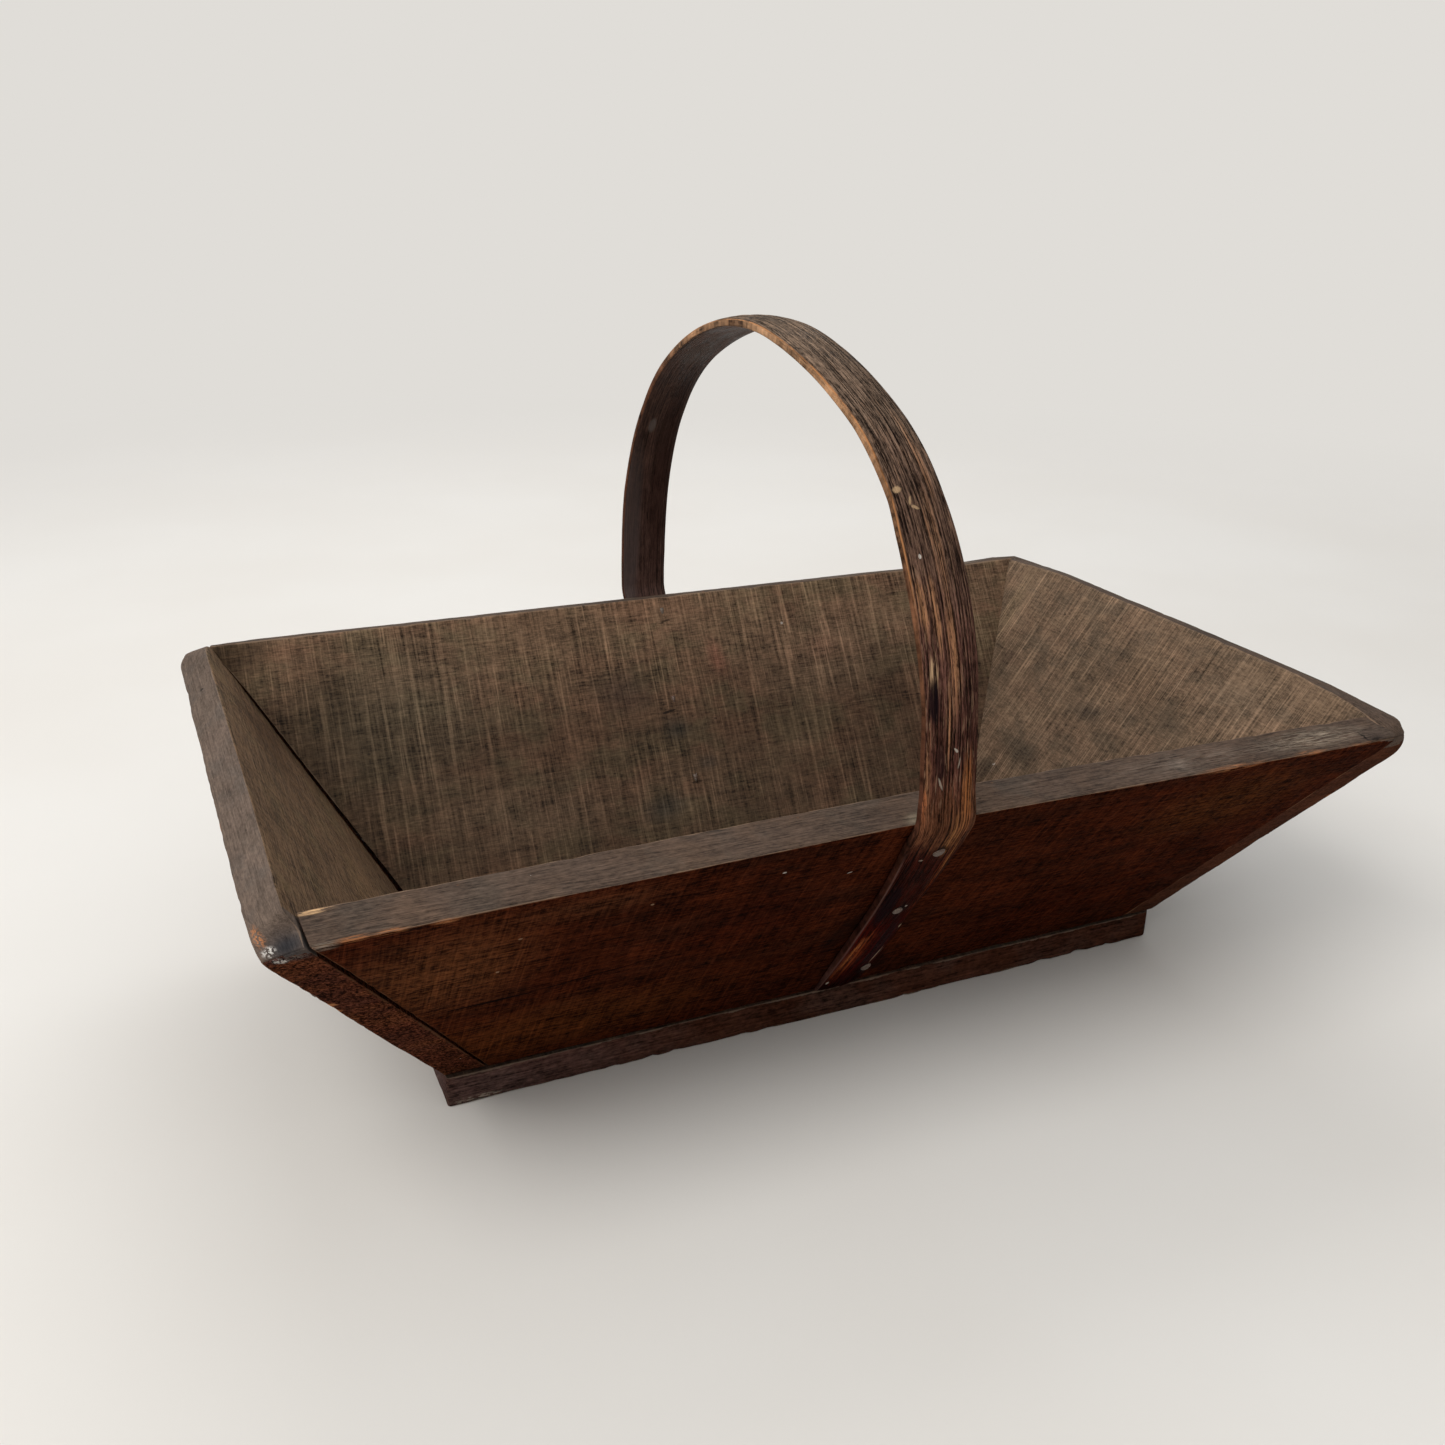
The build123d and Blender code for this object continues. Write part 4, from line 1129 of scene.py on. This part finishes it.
HOOP_MARKS = on_face(
    0, 9,
    (PLUM, 0.9, 186.5, -8, 10, 2.4), (PLUM, 0.5, 164, -5.3, 9, 2.2), (PLUM, 0.7, 46, 4, 30, 4.6),
    # The near-black marks at 126, 79 and 20 along are painted shadow around the nail heads
    (PLUM, 0.7, 84, -6.5, 22, 3.6), (SOOT_AND_SHADOW, 0.8, 126, 1.6, 5, 3), (SOOT_AND_SHADOW, 0.8, 79, 0, 5, 3.6),
    (SOOT_AND_SHADOW, 0.8, 20, 5.6, 7, 3.8), (CREAM, 0.9, 261, -8.1, 1.6, 2), (CREAM, 0.8, 253.4, -3.5, 0.8, 2, 30),
    (CREAM, 0.8, 256, -4.8, 2.2, 0.6, 20), ((206, 198, 188), 0.9, 235.8, -6.6, 0.9, 0.8),
    ((196, 186, 172), 0.75, 168.7, 0.9, 0.6, 1.3, 35), ((180, 166, 150), 0.6, 164, 2.3, 2.6, 0.45, 14),
    ((170, 156, 140), 0.6, 157.3, -5.1, 3, 0.5, -20), ((200, 190, 178), 0.7, 81.3, 2.6, 0.5, 1),
    # The thin pale line at 34 along, near the right edge, is a painted highlight
    ((190, 170, 140), 0.8, 59, 9.2, 1.6, 0.8), ((176, 152, 130), 0.75, 34, 7.2, 10, 0.5, 2),
    ((196, 186, 172), 0.8, 10, -7.4, 2, 0.7), ((176, 160, 144), 0.6, 120.5, -5, 0.6, 1.2),
)
hoop_outer = bentwood(
    "hoop_outer", HOOP_ZONES, 1, (0.42, 0.64), 0.008, raw_marks=HOOP_RAW, marks=HOOP_MARKS, streaks=0.55, worn=0.85,
)
SIDE_ZONES = (
    (0, (70, 46, 40)), (60, (60, 32, 25)), (110, (56, 30, 22)), (150, (72, 44, 32)), (215, (98, 66, 47)),
    (300, (150, 114, 84)), (390, (158, 122, 92)), (450, (146, 110, 82)), (520, (96, 62, 44)), (640, (64, 38, 28)),
    (783.4, (46, 24, 18)),
)
hoop_side = bentwood("hoop_side", SIDE_ZONES, 0.55, (0.5, 0.7), 0.03, (70, 40, 26), 0.6)
INNER_ZONES = (
    (0, (40, 24, 20)), (200, (54, 38, 32)), (330, (88, 65, 55)), (400, (97, 71, 61)), (450, (88, 67, 58)),
    (520, (77, 58, 51)), (600, (68, 49, 43)), (783.4, (40, 26, 22)),
)
INNER_MARKS = on_face(
    0, 9,
    ((120, 112, 108), 0.6, 545, -4, 6, 2.6), ((104, 94, 88), 0.35, 480, 0, 18, 8),
    ((94, 84, 82), 0.45, 606, -9, 62, 8), ((44, 25, 21), 0.5, 560, 6, 90, 6),
)
hoop_inner = bentwood("hoop_inner", INNER_ZONES, 0.5, (0.42, 0.6), 0.05, (34, 24, 21), 0.5, marks=INNER_MARKS)


def iron():
    m = Nodes("nail_iron")
    at = m.attribute("grain", "Vector")
    rust = m.noise(at, 420, 4, 0.65)
    fine = m.noise(at, 1600, 3, 0.6)
    colour = m.mix(m.span(rust, 0.42, 0.62), (98, 86, 76), (80, 54, 42))
    colour = m.mix(m.span(fine, 0.55, 0.7), colour, (156, 142, 128))
    m.put(m.shader.inputs["Metallic"], m.span(rust, 0.62, 0.4, 0, 0.35))
    return m.finish(colour, m.span(fine, 0.3, 0.7, 0.4, 0.7), m.bump(m.add(rust, fine), 0.5, 0.0002), 0.5)


nail_iron = iron()

# The pieces
side_finish = [outer_side, inner_back, rim_side, base_under, end_grain, end_grain]
front_finish = [outer_side, inner_front, rim_side, base_under, end_grain, end_grain]

# The rounded tips, as for long_board, and the rims' heights as (place along the board, height)
SHARP = ((1.5, 1.5), (1.5, 1.5), 2.0)
TIP_LEFT_BACK = ((14.0, 13.0), (54.0, 26.0), 2.0)
TIP_LEFT_BACK_LONG = ((14.0, 13.0), (14.0, 13.0), 2.0)
TIP_LEFT_FRONT = ((6.0, 6.0), (2.0, 2.0), 2.4)
TIP_RIGHT_FRONT = ((21.0, 19.0), (5.0, 4.0), 1.8)
TIP_RIGHT_FRONT_LONG = ((5.0, 4.0), (2.0, 2.0), 1.8)
TIP_RIGHT_BACK = ((4.0, 4.0), (4.0, 4.0), 2.0)
BACK_OUTER = [(-228, 126.2), (140, 126.2), (196, 125.5), (228, 126.8)]
BACK_INNER = [(-228, 131.0), (140, 131.0), (196, 130.2), (228, 131.0)]
FRONT_OUTER = [(-228, 127.2), (-200, 127.8), (-24, 131.2), (13, 129.8), (206, 126.4), (228, 126.2)]
FRONT_INNER = [(-228, 129.0), (-200, 130.0), (-9, 134.2), (26, 132.2), (211, 129.0), (228, 128.4)]
LEFT_OUTER = [(-157, 123.6), (-150, 124.4), (-142, 125.6), (-125, 127.3), (120, 127.3), (144, 126.2), (157, 123.8)]
LEFT_INNER = [(-157, 134.4), (100, 136.4), (157, 134.8)]
RIGHT_OUTER = [(-157, 126.3), (-135, 126.6), (-100, 128.4), (100, 128.8), (157, 127.0)]
RIGHT_INNER = [(-157, 126.4), (-146, 127.6), (-122, 131.4), (-90, 133.4), (90, 133.6), (134, 130.6), (157, 127.2)]

front_tips, back_tips = (SHARP, TIP_RIGHT_FRONT_LONG), (TIP_LEFT_BACK_LONG, TIP_RIGHT_BACK)
left_tips, right_tips = (TIP_LEFT_FRONT, TIP_LEFT_BACK), (TIP_RIGHT_FRONT, TIP_RIGHT_BACK)
BACK_GAPS, FRONT_GAPS = ((2.1, 0.8), (0.3, 0.3)), ((0.85, 0.15), (0.4, 0.15))
long_board("back_board", 1, BACK_OUTER, BACK_INNER, 1.03, BACK_GAPS, back_tips, side_finish, 11)
long_board("front_board", -1, FRONT_OUTER, FRONT_INNER, 1.05, FRONT_GAPS, front_tips, front_finish, 12)
left_finish = [outer_end, inner_left, rim_end, base_under, end_grain, end_grain]
right_finish = [outer_end, inner_right, rim_side, base_under, end_strip, end_grain]
# As for end_board. The right end's front tip isn't cut down.
LEFT_THICK, RIGHT_THICK = [(-157, 0.95), (-60, 1.02), (157, 1.08)], [(0, 1.12)]
FACET, NO_FACET = (6.5, 12.0, 20.0, 0.6), (0.0, 1.0, 1.0, 0.0)
end_board("left_end_board", -1, LEFT_OUTER, LEFT_INNER, LEFT_THICK, left_tips, FACET, left_finish, 13, 4.5)
end_board("right_end_board", 1, RIGHT_OUTER, RIGHT_INNER, RIGHT_THICK, right_tips, NO_FACET, right_finish, 14, 0.0)
bottom_board([base_under, base_inside, base_edge, base_edge, base_edge, base_edge])
handle_hoop([hoop_outer, hoop_side, hoop_inner])

# Heads on the hoop's feet as (x, height), and how far they stand off the board
FRONT_NAILS = [(-2.8, 117.6), (-2.3, 79.5), (5.0, 32.0)]
BACK_NAILS = [(1.0, 116.5), (-3.5, 76.0), (-1.0, 40.0)]
FRONT_SEATS, BACK_SEATS = (4.6, 4.6, 3.2), (4.6, 4.6, 3.8)
nails("handle_nails_front", foot_places(FRONT_NAILS, -1, FRONT_SEATS), nail_iron, HOOP_NAIL, True, 21)
nails("handle_nails_back", foot_places(BACK_NAILS, 1, BACK_SEATS), nail_iron, HOOP_NAIL, True, 31)
for end, end_name in ((-1, "left"), (1, "right")):
    for side, side_name in ((-1, "front"), (1, "back")):
        node = f"corner_nails_{side_name}_{end_name}"
        nails(node, corner_places(end, side), nail_iron, CORNER_NAIL, seed=40 + end * 3 + side)
ALONG_SIDE = [143.0 * (2 * i / 3 - 1) for i in range(4)]
BASE_NAILS = {
    "front": [(x, -71.5) for x in ALONG_SIDE],
    "back": [(x, 71.5) for x in ALONG_SIDE],
    "left": [(-169.5, y) for y in (-35, 35)],
    "right": [(169.5, y) for y in (-35, 35)],
}
for seed, (side_name, points) in zip((50, 55, 60, 65), BASE_NAILS.items()):
    nails("base_nails_" + side_name, base_places(points), nail_iron, BASE_NAIL, seed=seed)


# Floor and backdrop: a wide shallow bowl
def backdrop():
    floor_reach, bend, wall = 2.6, 1.1, 2.6
    profile = [(0.02, 0.0), (0.3, 0.0), (0.9, 0.0), (floor_reach, 0.0)]
    for k in range(1, 13):
        a = k / 12 * math.pi / 2
        profile.append((floor_reach + bend * math.sin(a), bend * (1 - math.cos(a))))
    profile.append((floor_reach + bend, wall))
    turns = 96
    angles = [2 * math.pi * k / turns for k in range(turns)]
    co = [(0.0, 0.0, 0.0)] + [(r * math.cos(a), r * math.sin(a), z) for r, z in profile for a in angles]
    faces = [(0, 1 + k, 1 + (k + 1) % turns) for k in range(turns)] + ring_faces(len(profile), turns)
    mesh = bpy.data.meshes.new("backdrop")
    mesh.from_pydata(co, [], faces)
    mesh.polygons.foreach_set("use_smooth", np.ones(len(faces), bool))
    made = bpy.data.objects.new("backdrop", mesh)
    bpy.context.scene.collection.objects.link(made)
    m = Nodes("backdrop_paper")
    at = m.node("TexCoord").outputs["Object"]
    colour = m.mix(m.span(m.noise(at, 3.0, 3.0), 0.3, 0.7), (226, 222, 216), (230, 227, 222))
    mesh.materials.append(m.finish(colour, 0.85, m.bump(m.noise(at, 500.0, 2.0), 0.05, 0.0005), 0.2))

    # Away from the object the paper is evenly pale to the camera; near it the floor keeps the object's shadow
    path = m.node("LightPath").outputs
    mirrored = m.math("MAXIMUM", path["Is Glossy Ray"], path["Is Transmission Ray"])
    seen = m.math("MAXIMUM", path["Is Camera Ray"], mirrored)
    far = m.span(m.vector("LENGTH", at, output="Value"), 0.55, 1.7)
    glow = m.node("Emission", {"Color": srgb(224, 221, 216)})
    blend = m.node("MixShader", {0: m.mul(seen, far), 1: m.shader.outputs[0], 2: glow.outputs[0]})
    m.put(m.out.inputs[0], blend.outputs[0])


backdrop()

# Light
world = bpy.data.worlds.new("studio")
bpy.context.scene.world = world
world.use_nodes = True
sky = world.node_tree.nodes["Background"]
sky.inputs["Color"].default_value = (0.93, 0.96, 1.0, 1.0)
sky.inputs["Strength"].default_value = 0.55


def softbox(name, place, target, size, power, colour):
    lamp = bpy.data.lights.new(name, "AREA")
    lamp.shape = "RECTANGLE"
    lamp.size, lamp.size_y = size
    lamp.energy = power
    lamp.color = colour
    made = bpy.data.objects.new(name, lamp)
    made.location = place
    made.rotation_euler = (Vector(target) - Vector(place)).to_track_quat("-Z", "Y").to_euler()
    bpy.context.scene.collection.objects.link(made)


softbox("key", (-1.25, -0.55, 1.75), (0, 0, 0.08), (1.5, 1.2), 30, (1.0, 0.98, 0.95))
softbox("back", (0.4, 1.5, 1.5), (0, 0, 0.1), (1.6, 0.9), 14, (1.0, 1.0, 1.0))

# Camera, at the photograph's place. The focal length and the middle of the view are in the photograph's pixels.
IMAGE = 1445
FOCAL = 1396.6
MIDDLE = (732.3, 729.7)
camera = bpy.data.cameras.new("photo_view")
camera.sensor_width = 36.0
camera.lens = FOCAL / IMAGE * camera.sensor_width
camera.shift_x = -(MIDDLE[0] - IMAGE / 2) / IMAGE
camera.shift_y = (MIDDLE[1] - IMAGE / 2) / IMAGE
camera.clip_start = 0.01
eye = bpy.data.objects.new("photo_view", camera)
# Its place in metres, and the directions to the right, down and ahead in its view
PLACE = (-0.265175, -0.540805, 0.348928)
right = Vector((0.911612, -0.410679, 0.017507))
down = Vector((-0.139475, -0.349105, -0.926646))
ahead = Vector((0.386665, 0.842300, -0.375527))
turn = Matrix((right, -down, -ahead)).transposed()
eye.matrix_world = Matrix.Translation(PLACE) @ turn.to_4x4()
bpy.context.scene.collection.objects.link(eye)
bpy.context.scene.camera = eye

bpy.context.scene.view_settings.view_transform = "Standard"

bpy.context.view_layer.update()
